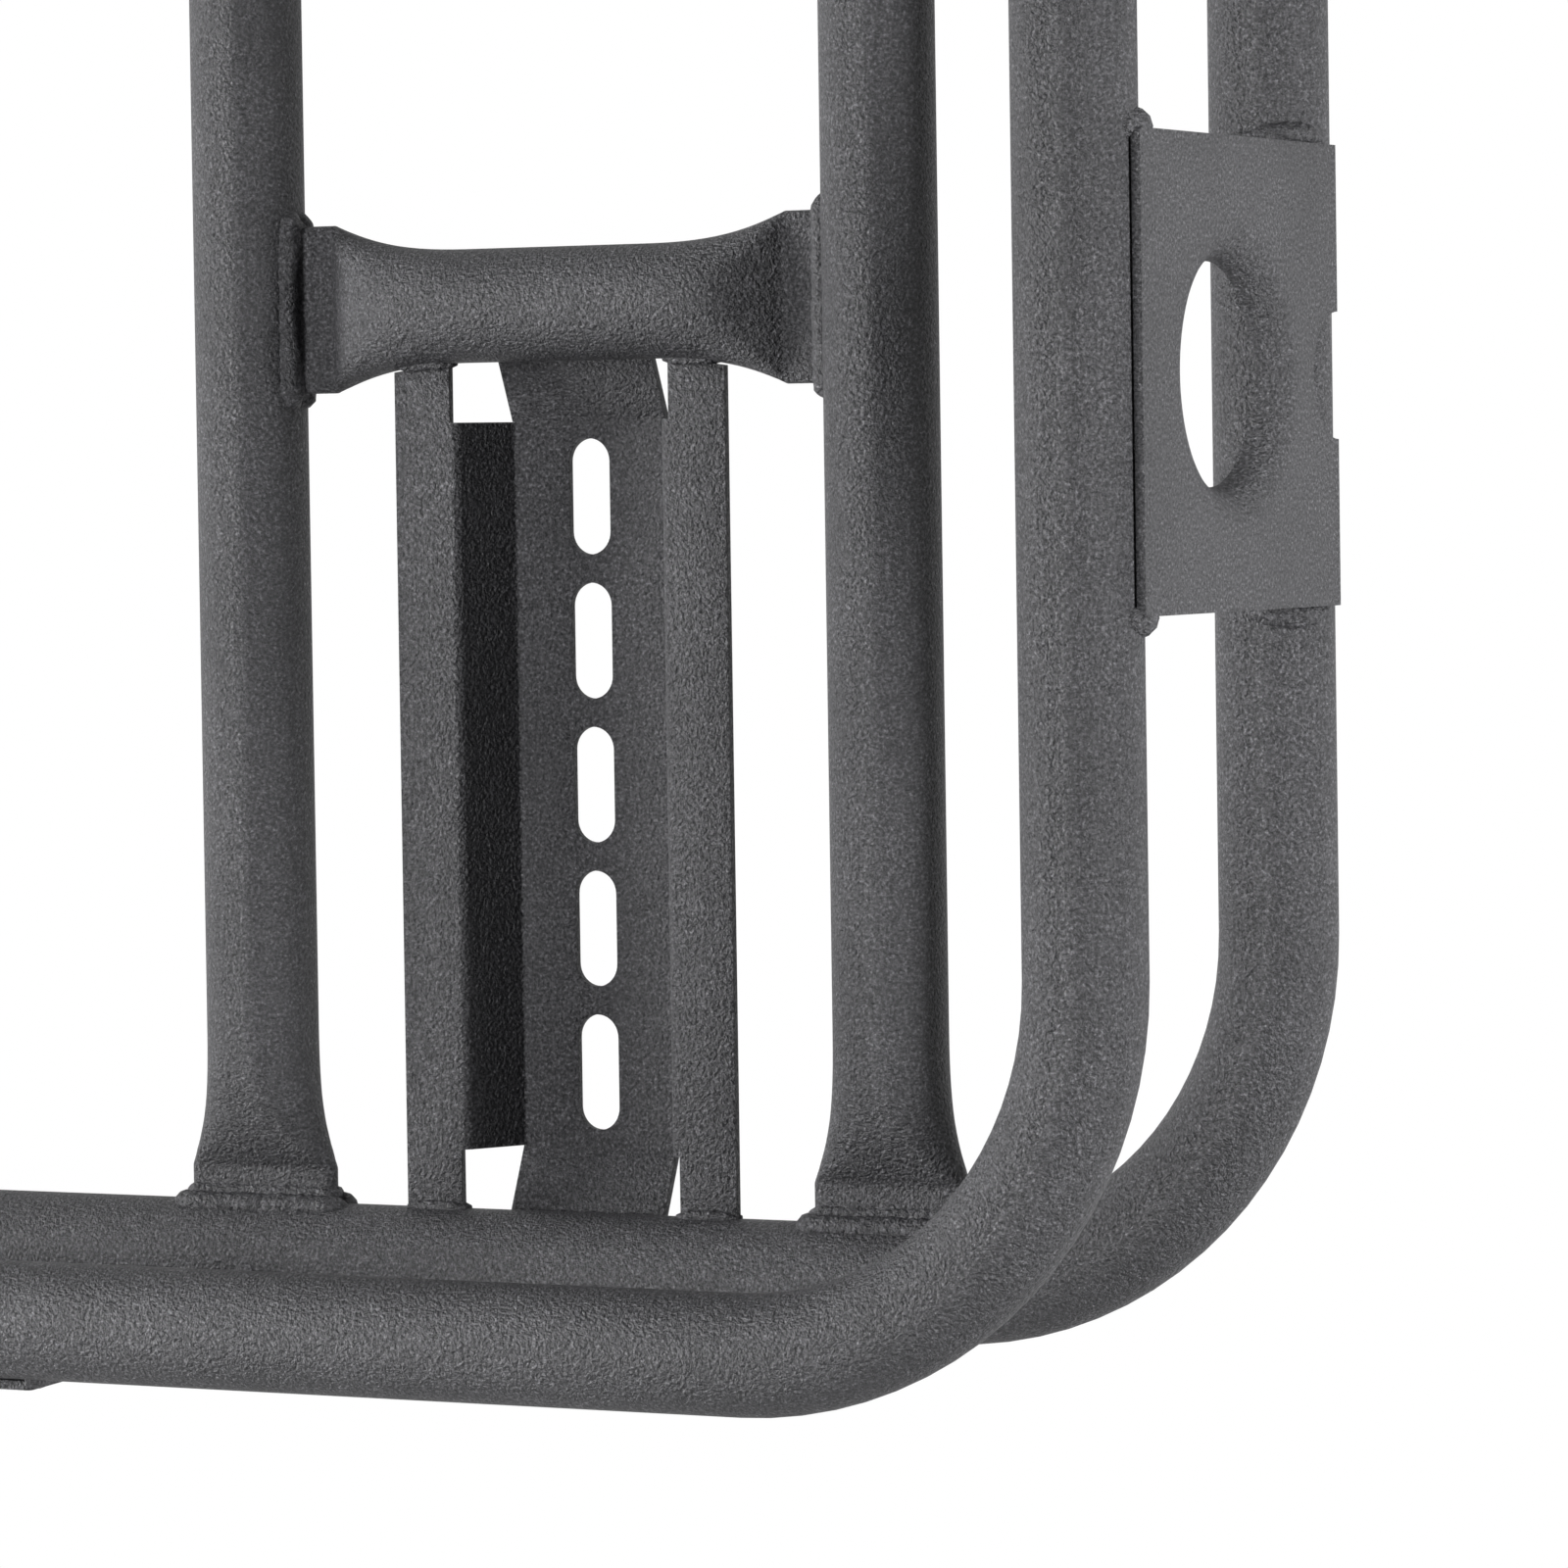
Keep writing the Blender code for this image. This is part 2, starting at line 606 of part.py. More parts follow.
def main():
    clear_scene()
    front = add_empty("front_half", (0, 0, 0))
    rear = add_empty("rear_half", (0, 0, AXIS_Z))
    build_half("front", 1, front)
    build_half("rear", -1, rear)
    for side, x_sign in (("right", 1), ("left", -1)):
        build_hinge(side, x_sign, front, rear)
        build_sleeve(side, x_sign, front)


main()
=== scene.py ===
# %% [markdown]
# # A folding roof luggage basket
# The basket is welded from one-inch steel tube and a few pressed plates, then powder coated in a fine-textured
# charcoal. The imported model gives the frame: where every tube, plate and hinge is. This file keeps those places
# and makes the surfaces that the frame leaves plain: round tubes, pressed edges, weld beads and the coating.

# %% Load the frame
import math

import bmesh
import bpy
import numpy as np
from mathutils import Matrix, Vector


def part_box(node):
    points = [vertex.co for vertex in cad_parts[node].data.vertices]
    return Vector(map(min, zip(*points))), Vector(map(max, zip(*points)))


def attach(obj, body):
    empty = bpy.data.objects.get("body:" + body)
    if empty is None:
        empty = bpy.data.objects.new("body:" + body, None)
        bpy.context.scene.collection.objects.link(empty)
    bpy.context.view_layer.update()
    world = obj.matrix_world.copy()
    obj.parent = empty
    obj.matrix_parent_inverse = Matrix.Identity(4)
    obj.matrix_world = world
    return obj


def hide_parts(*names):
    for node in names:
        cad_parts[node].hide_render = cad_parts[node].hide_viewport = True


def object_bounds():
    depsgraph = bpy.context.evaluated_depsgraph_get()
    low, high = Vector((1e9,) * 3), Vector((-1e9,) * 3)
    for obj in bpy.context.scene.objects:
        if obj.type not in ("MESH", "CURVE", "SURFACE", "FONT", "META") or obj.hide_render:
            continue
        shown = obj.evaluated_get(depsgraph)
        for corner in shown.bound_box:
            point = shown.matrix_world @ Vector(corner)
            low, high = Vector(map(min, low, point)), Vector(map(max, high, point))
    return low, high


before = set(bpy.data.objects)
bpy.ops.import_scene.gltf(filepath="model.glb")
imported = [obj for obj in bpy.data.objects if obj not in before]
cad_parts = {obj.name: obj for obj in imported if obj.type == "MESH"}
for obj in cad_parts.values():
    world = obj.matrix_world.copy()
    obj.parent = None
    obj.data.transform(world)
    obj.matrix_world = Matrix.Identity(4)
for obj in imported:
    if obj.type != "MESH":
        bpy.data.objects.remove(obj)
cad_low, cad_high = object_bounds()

MM = 0.001

# %% [markdown]
# ## Reading sizes from the frame
# A tube's box gives its radius and the height of its centre line, so the pieces below are placed from the frame
# and need no fitting. Only sizes that a box can't tell, such as a bend radius or a sheet's gauge, are written out.

# %% Sizes from the frame


def box_of(node):
    low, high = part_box(node)
    return low, high, (low + high) / 2


lower_low, lower_high, lower_mid = box_of("front_lower_rail")
upper_low, upper_high, upper_mid = box_of("front_upper_rail")
TUBE_R = (lower_high.z - lower_low.z) / 2
LOWER_Z = lower_mid.z
UPPER_Z = upper_mid.z
SIDE_X = lower_high.x - TUBE_R
LOWER_END_Y = lower_low.y + TUBE_R
UPPER_END_Y = upper_low.y + TUBE_R
SPLIT_Y = lower_high.y
BEND_RADIUS = 78 * MM
TUBE_WALL = 1.5 * MM
FIT = 0.3 * MM
HALVES = (("front", 1), ("rear", -1))
SIDES = (("right", 1), ("left", -1))
print(f"tube radius {TUBE_R / MM:.2f} mm, rails {(UPPER_Z - LOWER_Z) / MM:.1f} mm apart")

# %% [markdown]
# ## The camera
# A long lens looks down on the front right corner from outside the basket, about 27 degrees off the vertical.
# A long lens keeps the tubes nearly parallel. The small vertical shift frames the corner without tilting it.

# %% Camera
SENSOR = 36.0
LENS = 159.75


def make_camera():
    data = bpy.data.cameras.new("camera")
    data.sensor_width = SENSOR
    data.lens = LENS
    data.shift_x = 0.0013
    data.shift_y = -0.0453
    camera = bpy.data.objects.new("camera", data)
    bpy.context.scene.collection.objects.link(camera)
    corner = Vector((SIDE_X, LOWER_END_Y, LOWER_Z))
    camera.location = corner + Vector((569.3, 175.9, 1358.2)) * MM
    camera.rotation_mode = "ZYX"
    camera.rotation_euler = (math.radians(-2.18), math.radians(26.79), math.radians(0.13))
    data.clip_start = 0.05
    data.clip_end = 100.0
    bpy.context.scene.camera = camera
    return camera


camera = make_camera()
print("camera at", [round(v, 3) for v in camera.location])

# %% [markdown]
# ## Studio
# The basket stands on a white sweep. What the camera sees of it is clean white, while the light that it gives
# back is held a little lower, so that the dark coating keeps its shading. Long soft boxes light the tubes low from
# both sides, and a narrow one high on the left reaches into the channels. A weak one fills from above.

# %% Floor, surroundings and lights
FLOOR_SIZE = 30.0
SKY_LIGHT = 0.06
FLOOR_LIGHT = 0.62


def camera_white(tree, shader_type, strength):
    """White to the camera and a dimmer light to everything else."""
    nodes, links = tree.nodes, tree.links
    nodes.clear()
    seen = nodes.new(shader_type)
    seen.inputs["Color"].default_value = (1, 1, 1, 1)
    seen.inputs["Strength"].default_value = 1.0
    unseen = nodes.new(shader_type)
    unseen.inputs["Color"].default_value = (1, 1, 1, 1)
    unseen.inputs["Strength"].default_value = strength
    path = nodes.new("ShaderNodeLightPath")
    mix = nodes.new("ShaderNodeMixShader")
    links.new(path.outputs["Is Camera Ray"], mix.inputs["Fac"])
    links.new(unseen.outputs[0], mix.inputs[1])
    links.new(seen.outputs[0], mix.inputs[2])
    return mix


def make_floor():
    material = bpy.data.materials.new("white_sweep")
    material.use_nodes = True
    tree = material.node_tree
    mix = camera_white(tree, "ShaderNodeEmission", FLOOR_LIGHT)
    output = tree.nodes.new("ShaderNodeOutputMaterial")
    tree.links.new(mix.outputs[0], output.inputs["Surface"])
    mesh = bpy.data.meshes.new("floor")
    half = FLOOR_SIZE / 2
    level = cad_low.z - 0.001
    corners = [(-half, -half, level), (half, -half, level), (half, half, level), (-half, half, level)]
    mesh.from_pydata(corners, [], [(0, 1, 2, 3)])
    mesh.materials.append(material)
    floor = bpy.data.objects.new("floor", mesh)
    bpy.context.scene.collection.objects.link(floor)


def make_sky():
    world = bpy.data.worlds.new("studio")
    bpy.context.scene.world = world
    world.use_nodes = True
    mix = camera_white(world.node_tree, "ShaderNodeBackground", SKY_LIGHT)
    output = world.node_tree.nodes.new("ShaderNodeOutputWorld")
    world.node_tree.links.new(mix.outputs[0], output.inputs["Surface"])


def soft_box(name, place, target, width, height, power):
    data = bpy.data.lights.new(name, "AREA")
    data.shape = "RECTANGLE"
    data.size, data.size_y = width, height
    data.energy = power
    light = bpy.data.objects.new(name, data)
    bpy.context.scene.collection.objects.link(light)
    light.location = place
    light.rotation_mode = "QUATERNION"
    light.rotation_quaternion = (Vector(target) - Vector(place)).to_track_quat("-Z", "Y")
    light.visible_camera = False


make_floor()
make_sky()
soft_box("high_box", (-0.75, -0.3, 2.5), (0.3, -0.3, 0.0), 3.0, 0.7, 78)
soft_box("left_box", (-2.5, -0.3, 0.95), (0.3, -0.3, 0.0), 3.0, 0.7, 115)
soft_box("right_box", (3.3, -0.5, 0.20), (0.3, -0.3, 0.05), 3.0, 0.3, 150)
soft_box("top_box", (0.2, 0.4, 2.6), (0.3, -0.3, 0.0), 2.0, 2.0, 12)
bpy.context.scene.view_settings.view_transform = "Standard"
print("stage: floor, sky and four soft boxes")

# %% [markdown]
# ## Finishes
# Textured powder coat is a skin of tiny melted grains. Up close it is a fine pebble with a few grains that catch
# the light, over a broader, weaker orange peel, and it thins slightly on edges. One shader node group makes the
# grain from noise on object coordinates, so it has the same size on every piece and turns with it. It is used by
# each coated material with its own values.

# %% Node group: coating grain


def new_group(name, inputs, outputs):
    tree = bpy.data.node_groups.new(name, "ShaderNodeTree")
    for label, kind, value in inputs:
        socket = tree.interface.new_socket(label, in_out="INPUT", socket_type=kind)
        socket.default_value = value
    for label, kind in outputs:
        tree.interface.new_socket(label, in_out="OUTPUT", socket_type=kind)
    return tree, tree.nodes.new("NodeGroupInput"), tree.nodes.new("NodeGroupOutput")


def math_node(tree, operation, first, second=None, clamp=False):
    node = tree.nodes.new("ShaderNodeMath")
    node.operation = operation
    node.use_clamp = clamp
    for socket, value in zip(node.inputs, (first, second)):
        if value is None:
            continue
        if isinstance(value, (int, float)):
            socket.default_value = value
        else:
            tree.links.new(value, socket)
    return node.outputs[0]


def noise(tree, vector, scale, detail=2.0, roughness=0.5):
    node = tree.nodes.new("ShaderNodeTexNoise")
    node.inputs["Detail"].default_value = detail
    node.inputs["Roughness"].default_value = roughness
    tree.links.new(vector, node.inputs["Vector"])
    if isinstance(scale, (int, float)):
        node.inputs["Scale"].default_value = scale
    else:
        tree.links.new(scale, node.inputs["Scale"])
    return node.outputs["Fac"]


def remap(tree, value, low, high, to_low=0.0, to_high=1.0):
    node = tree.nodes.new("ShaderNodeMapRange")
    node.inputs["From Min"].default_value = low
    node.inputs["From Max"].default_value = high
    node.inputs["To Min"].default_value = to_low
    node.inputs["To Max"].default_value = to_high
    tree.links.new(value, node.inputs["Value"])
    return node.outputs["Result"]


def coating_group():
    tree, given, out = new_group(
        "coating_grain",
        [("Grain Size", "NodeSocketFloat", 0.7 * MM), ("Peel Size", "NodeSocketFloat", 2.4 * MM),
         ("Peel Share", "NodeSocketFloat", 0.25)],
        [("Height", "NodeSocketFloat"), ("Speckle", "NodeSocketFloat"), ("Sparkle", "NodeSocketFloat"),
         ("Mottle", "NodeSocketFloat")])
    place = tree.nodes.new("ShaderNodeTexCoord").outputs["Object"]
    grain_scale = math_node(tree, "DIVIDE", 1.0, given.outputs["Grain Size"])
    peel_scale = math_node(tree, "DIVIDE", 1.0, given.outputs["Peel Size"])
    grain = noise(tree, place, grain_scale, 2.5, 0.65)
    peel = noise(tree, place, peel_scale, 1.0, 0.5)
    fold = math_node(tree, "ABSOLUTE", math_node(tree, "SUBTRACT", peel, 0.5))
    crease = remap(tree, fold, 0.0, 0.06)
    height = math_node(tree, "ADD", remap(tree, grain, 0.25, 0.75),
                       math_node(tree, "MULTIPLY", crease, given.outputs["Peel Share"]))
    tree.links.new(height, out.inputs["Height"])
    finer = math_node(tree, "MULTIPLY", grain_scale, 1.25)
    spots = noise(tree, place, finer, 1.0, 0.6)
    tree.links.new(remap(tree, spots, 0.40, 0.66), out.inputs["Speckle"])
    # The rarest grains: the coated materials paint them a lighter grey, a painted glint, and make them less rough.
    tree.links.new(remap(tree, spots, 0.63, 0.74), out.inputs["Sparkle"])
    tree.links.new(noise(tree, place, 28.0, 2.0, 0.6), out.inputs["Mottle"])
    return tree


COATING = coating_group()
print("node group:", COATING.name)

# %% [markdown]
# ## The coated steel
# The base colour is a near-black grey that the speckle lightens on single grains. The rarest grains are painted
# lighter still, a painted glint. The grain feeds a bump, and the roughness falls a little on the speckled grains so
# that they sparkle under the soft boxes. Welds take the same coat, but it fills their ripples, so the weld material has
# a weaker grain and a stronger peel.

# %% Materials


def mix_colour(tree, factor, first, second):
    node = tree.nodes.new("ShaderNodeMix")
    node.data_type = "RGBA"
    tree.links.new(factor, node.inputs["Factor"])
    for socket, colour in ((node.inputs["A"], first), (node.inputs["B"], second)):
        if isinstance(colour, tuple):
            socket.default_value = (*colour, 1.0)
        else:
            tree.links.new(colour, socket)
    return node.outputs["Result"]


def new_material(name):
    material = bpy.data.materials.new(name)
    material.use_nodes = True
    return material, material.node_tree, material.node_tree.nodes["Principled BSDF"]


def add_bump(tree, shader, height, distance, strength=1.0):
    bump = tree.nodes.new("ShaderNodeBump")
    bump.inputs["Distance"].default_value = distance
    bump.inputs["Strength"].default_value = strength
    tree.links.new(height, bump.inputs["Height"])
    tree.links.new(bump.outputs["Normal"], shader.inputs["Normal"])


def coated(name, dark, light, grain, peel_share, bump_mm):
    material, tree, shader = new_material(name)
    coat = tree.nodes.new("ShaderNodeGroup")
    coat.node_tree = COATING
    coat.inputs["Grain Size"].default_value = grain
    coat.inputs["Peel Share"].default_value = peel_share
    grained = mix_colour(tree, coat.outputs["Speckle"], dark, light)
    # Painted glint: the rarest grains get a lighter grey in the base colour, standing in for light that catches them.
    painted_glint_colour = mix_colour(tree, coat.outputs["Sparkle"], grained, tuple(channel * 1.7 for channel in light))
    mottled = mix_colour(tree, remap(tree, coat.outputs["Mottle"], 0.35, 0.65, 0.0, 0.35),
                         painted_glint_colour, tuple(channel * 0.8 for channel in dark))
    tree.links.new(mottled, shader.inputs["Base Color"])
    rough = remap(tree, coat.outputs["Sparkle"], 0.0, 1.0, 0.50, 0.30)
    tree.links.new(rough, shader.inputs["Roughness"])
    shader.inputs["Metallic"].default_value = 0.0
    shader.inputs["Specular IOR Level"].default_value = 0.55
    add_bump(tree, shader, coat.outputs["Height"], bump_mm * MM)
    return material


POWDER_COAT = coated("textured_coat", (0.022, 0.022, 0.0245), (0.082, 0.081, 0.088), 0.9 * MM, 0.18, 0.6)
WELD_COAT = coated("weld_coat", (0.022, 0.022, 0.0245), (0.076, 0.075, 0.082), 1.0 * MM, 0.25, 0.55)


def plated(name):
    """Bright zinc: faint blue-grey metal with fine rolling marks and a dull bloom in places."""
    material, tree, shader = new_material(name)
    place = tree.nodes.new("ShaderNodeTexCoord").outputs["Object"]
    bloom = noise(tree, place, 160.0, 3.0, 0.6)
    fine = noise(tree, place, 2600.0, 1.0, 0.5)
    tree.links.new(mix_colour(tree, remap(tree, bloom, 0.3, 0.7), (0.50, 0.51, 0.53), (0.62, 0.62, 0.62)),
                   shader.inputs["Base Color"])
    tree.links.new(remap(tree, bloom, 0.3, 0.7, 0.28, 0.46), shader.inputs["Roughness"])
    shader.inputs["Metallic"].default_value = 1.0
    add_bump(tree, shader, fine, 0.02 * MM)
    return material


def moulded(name):
    """Black moulded plastic with a spark-eroded grain."""
    material, tree, shader = new_material(name)
    place = tree.nodes.new("ShaderNodeTexCoord").outputs["Object"]
    spark = noise(tree, place, 3200.0, 1.0, 0.5)
    wide = noise(tree, place, 90.0, 2.0, 0.5)
    tree.links.new(mix_colour(tree, wide, (0.014, 0.014, 0.015), (0.026, 0.026, 0.027)),
                   shader.inputs["Base Color"])
    tree.links.new(remap(tree, wide, 0.3, 0.7, 0.5, 0.66), shader.inputs["Roughness"])
    add_bump(tree, shader, spark, 0.03 * MM)
    return material


ZINC = plated("zinc_plate")
PLASTIC = moulded("moulded_plastic")

# %% [markdown]
# ## Helpers that place pieces
# Everything on the basket repeats left to right and front to rear, so each piece is modelled once, at the front
# right, and reflected. A reflection turns a mesh inside out, so its faces are flipped back.

# %% Helpers: adding, reflecting and finishing a piece


def mesh_of(bm, name):
    mesh = bpy.data.meshes.new(name)
    bm.to_mesh(mesh)
    bm.free()
    return mesh


def reflected(mesh, x_sign, y_sign):
    copy = mesh.copy()
    copy.transform(Matrix.Diagonal((x_sign, y_sign, 1, 1)))
    if x_sign * y_sign < 0:
        copy.flip_normals()
    return copy


def smooth(mesh, angle=30):
    mesh.shade_smooth()
    mesh.set_sharp_from_angle(angle=math.radians(angle))


def add_piece(name, mesh, material, body, stands_for=()):
    """Puts a finished mesh in the scene, on its body, in place of the plain nodes that it stands for."""
    mesh.materials.clear()
    mesh.materials.append(material)
    piece = bpy.data.objects.new(name, mesh)
    bpy.context.scene.collection.objects.link(piece)
    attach(piece, body)
    if stands_for:
        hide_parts(*stands_for)
    return piece


def baked(mesh, *modifiers):
    """The mesh after its modifiers, given as (type, settings), as a new plain mesh."""
    helper = bpy.data.objects.new("helper", mesh)
    bpy.context.scene.collection.objects.link(helper)
    for kind, settings in modifiers:
        modifier = helper.modifiers.new(kind, kind)
        for key, value in settings.items():
            setattr(modifier, key, value)
    graph = bpy.context.evaluated_depsgraph_get()
    result = bpy.data.meshes.new_from_object(helper.evaluated_get(graph))
    bpy.data.objects.remove(helper)
    return result


def solidify(thickness, offset):
    return ("SOLIDIFY", {"thickness": thickness, "offset": offset, "solidify_mode": "NON_MANIFOLD",
                         "nonmanifold_thickness_mode": "CONSTRAINTS"})


def bevel(width, segments=2, angle=40):
    return ("BEVEL", {"width": width, "segments": segments, "limit_method": "ANGLE",
                      "angle_limit": math.radians(angle), "harden_normals": False})


def rounded_path(points, radius, steps):
    """A polyline in a plane with each inner corner replaced by an arc."""
    result = [Vector(points[0])]
    for before, corner, after in zip(points, points[1:], points[2:]):
        corner = Vector(corner)
        back = (Vector(before) - corner).normalized()
        on = (Vector(after) - corner).normalized()
        half = back.angle(on) / 2
        reach = radius / math.tan(half)
        centre = corner + (back + on).normalized() * (radius / math.sin(half))
        first, last = corner + back * reach - centre, corner + on * reach - centre
        for step in range(steps + 1):
            turn = first.angle(last) * step / steps
            spot = (first * math.sin(first.angle(last) - turn) + last * math.sin(turn)) / math.sin(first.angle(last))
            result.append(centre + spot)
    result.append(Vector(points[-1]))
    return result


print("helpers ready")

# %% [markdown]
# ## Bent rails with Geometry Nodes
# A rail is a tube drawn along a U. The tree takes the three straight runs as edges, turns them into a curve,
# rounds the corners with Fillet Curve and sweeps a circle along it, so the bend radius and the tube's diameter
# are plain inputs. A Solidify then gives the tube its wall, which shows at the cut ends.

# %% Geometry Nodes: bent tube


def new_tree(name, inputs):
    tree = bpy.data.node_groups.new(name, "GeometryNodeTree")
    tree.interface.new_socket("Geometry", in_out="INPUT", socket_type="NodeSocketGeometry")
    tree.interface.new_socket("Geometry", in_out="OUTPUT", socket_type="NodeSocketGeometry")
    for label, kind, value in inputs:
        socket = tree.interface.new_socket(label, in_out="INPUT", socket_type=kind)
        if value is not None:
            socket.default_value = value
    return tree, tree.nodes.new("NodeGroupInput"), tree.nodes.new("NodeGroupOutput")


def feed(tree, node, **sockets):
    """Sets or links a node's inputs by name, with _ for a space."""
    for label, value in sockets.items():
        socket = node.inputs[label.replace("_", " ")]
        if isinstance(value, bpy.types.NodeSocket):
            tree.links.new(value, socket)
        else:
            socket.default_value = value
    return node


def end_tree(tree, geometry, given, out):
    """The last nodes of every tree: real geometry, in the piece's material."""
    real = tree.nodes.new("GeometryNodeRealizeInstances")
    tree.links.new(geometry, real.inputs["Geometry"])
    paint = tree.nodes.new("GeometryNodeSetMaterial")
    tree.links.new(real.outputs["Geometry"], paint.inputs["Geometry"])
    tree.links.new(given.outputs["Material"], paint.inputs["Material"])
    tree.links.new(paint.outputs["Geometry"], out.inputs["Geometry"])


def bent_tube_tree():
    tree, given, out = new_tree("bent_tube", [
        ("Radius", "NodeSocketFloat", 12.7 * MM), ("Bend Radius", "NodeSocketFloat", 78 * MM),
        ("Bend Steps", "NodeSocketInt", 20), ("Sides", "NodeSocketInt", 56), ("Material", "NodeSocketMaterial", None)])
    add = tree.nodes.new
    curve = feed(tree, add("GeometryNodeMeshToCurve"), Mesh=given.outputs["Geometry"])
    bend = add("GeometryNodeFilletCurve")
    bend.mode = "POLY"
    feed(tree, bend, Curve=curve.outputs["Curve"], Count=given.outputs["Bend Steps"],
         Radius=given.outputs["Bend Radius"], Limit_Radius=True)
    circle = feed(tree, add("GeometryNodeCurvePrimitiveCircle"), Resolution=given.outputs["Sides"],
                  Radius=given.outputs["Radius"])
    sweep = feed(tree, add("GeometryNodeCurveToMesh"), Curve=bend.outputs["Curve"],
                 Profile_Curve=circle.outputs["Curve"], Fill_Caps=False)
    end_tree(tree, sweep.outputs["Mesh"], given, out)
    return tree


def run_tree(tree, mesh, **values):
    """The mesh that a tree makes from an input mesh, with its inputs set by their identifiers."""
    helper = bpy.data.objects.new("helper", mesh)
    bpy.context.scene.collection.objects.link(helper)
    modifier = helper.modifiers.new("tree", "NODES")
    modifier.node_group = tree
    for item in tree.interface.items_tree:
        key = item.name.replace(" ", "_")
        if item.item_type == "SOCKET" and item.in_out == "INPUT" and key in values:
            modifier[item.identifier] = values[key]
    graph = bpy.context.evaluated_depsgraph_get()
    result = bpy.data.meshes.new_from_object(helper.evaluated_get(graph))
    bpy.data.objects.remove(helper)
    return result


def outward(mesh):
    bm = bmesh.new()
    bm.from_mesh(mesh)
    bmesh.ops.remove_doubles(bm, verts=bm.verts, dist=1e-6)
    bmesh.ops.recalc_face_normals(bm, faces=bm.faces)
    bm.to_mesh(mesh)
    bm.free()
    return mesh


BENT_TUBE = bent_tube_tree()
print("tree:", BENT_TUBE.name)

# %% Rails


def rail_mesh(end_y, height):
    path = bpy.data.meshes.new("rail_path")
    corners = [(SIDE_X, SPLIT_Y, height), (SIDE_X, end_y, height), (-SIDE_X, end_y, height), (-SIDE_X, SPLIT_Y, height)]
    path.from_pydata(corners, [(0, 1), (1, 2), (2, 3)], [])
    tube = run_tree(BENT_TUBE, path, Radius=TUBE_R, Bend_Radius=BEND_RADIUS, Material=POWDER_COAT)
    tube = outward(tube)
    centre = Vector((SIDE_X, SPLIT_Y, height))
    wrong_way = sum((v.co - centre).dot(v.normal) for v in tube.vertices if abs((v.co - centre).length - TUBE_R) < 1e-5) < 0
    if wrong_way:
        tube.flip_normals()
    wall = baked(tube, solidify(TUBE_WALL, -1.0))
    smooth(wall, 50)
    return wall


for level, end_y, height in (("lower", LOWER_END_Y, LOWER_Z), ("upper", UPPER_END_Y, UPPER_Z)):
    rail = rail_mesh(end_y, height)
    for half, y_sign in HALVES:
        add_piece(f"{half}_{level}_tube", reflected(rail, 1, y_sign), POWDER_COAT, f"{half}_half",
                  [f"{half}_{level}_rail"])
print("rails: 4,", len(rail.polygons), "faces each")

# %% [markdown]
# ## Tubes with crushed ends
# Slats and cross tubes have their ends pressed flat in a die, so that they can be welded on without coping. The
# girth of the tube doesn't change: as it flattens it grows wide, which gives the flared shape. The section is
# worked out from that rule at each station, and a small lip is left where the die's edge bit in.

# %% Crushed tubes
SLAT_FLAT = 7.8 * MM
CROSS_FLAT = 10 * MM
FLARE_LENGTH = 36 * MM
FLAT_HALF = 1.9 * MM
AROUND = 64
FLARE_STATIONS = 16
FLARE_POWER = 2.8


def section(flatness):
    """Half sizes of the section: height falls as the end flattens and width grows to keep the girth."""
    high = TUBE_R + (FLAT_HALF - TUBE_R) * flatness
    wide = high + math.pi * (TUBE_R - high) / 2
    return wide, high


def section_points(flatness):
    """Points round the section, evenly spaced along it, between an ellipse and a flat bar with round edges."""
    wide, high = section(flatness)
    straight = wide - high
    quarter = math.pi * high / 2 + straight
    points = []
    for i in range(AROUND):
        turn, travel = divmod(4 * i / AROUND, 1.0)
        travel = travel if turn % 2 == 0 else 1.0 - travel
        along = travel * quarter
        if along < math.pi * high / 2:
            bar = (straight + high * math.cos(along / high), high * math.sin(along / high))
        else:
            bar = (straight - (along - math.pi * high / 2), high)
        angle = travel * math.pi / 2
        oval = (wide * math.cos(angle), high * math.sin(angle))
        share = min(1.0, flatness * 1.3)
        x = bar[0] * share + oval[0] * (1 - share)
        z = bar[1] * share + oval[1] * (1 - share)
        points.append((-x if turn in (1, 2) else x, -z if turn in (2, 3) else z))
    return points


def crushed_stations(length, flat_length):
    """Distances along the tube and how flat it is at each."""
    ends = [(0.0, 1.0), (flat_length * 0.5, 1.0), (flat_length - 0.4 * MM, 1.0), (flat_length, 0.985)]
    for step in range(1, FLARE_STATIONS + 1):
        share = (step / FLARE_STATIONS) ** 1.4
        ends.append((flat_length + share * FLARE_LENGTH, 0.985 * (1 - share) ** FLARE_POWER))
    return ends + [(length - along, flat) for along, flat in reversed(ends)]


def crushed_mesh(length, flat_length):
    """A crushed tube along +Y from the origin, its flat ends closed by the weld."""
    bm = bmesh.new()
    rings = [[bm.verts.new((x, along, z)) for x, z in section_points(flat)]
             for along, flat in crushed_stations(length, flat_length)]
    for near, far in zip(rings, rings[1:]):
        for i in range(AROUND):
            j = (i + 1) % AROUND
            bm.faces.new((near[i], near[j], far[j], far[i]))
    bm.faces.new(rings[0])
    bm.faces.new(list(reversed(rings[-1])))
    bmesh.ops.recalc_face_normals(bm, faces=bm.faces)
    mesh = mesh_of(bm, "crushed_tube")
    smooth(mesh, 34)
    return mesh


def along_y(mesh, low, mid):
    """A copy of a tube moved to its node's place, lying along Y."""
    copy = mesh.copy()
    copy.transform(Matrix.Translation((mid.x, low.y, mid.z)))
    return copy


def along_x(mesh, low, mid):
    copy = mesh.copy()
    copy.transform(Matrix.Translation((low.x, mid.y, mid.z)) @ Matrix.Rotation(math.radians(-90), 4, "Z"))
    return copy


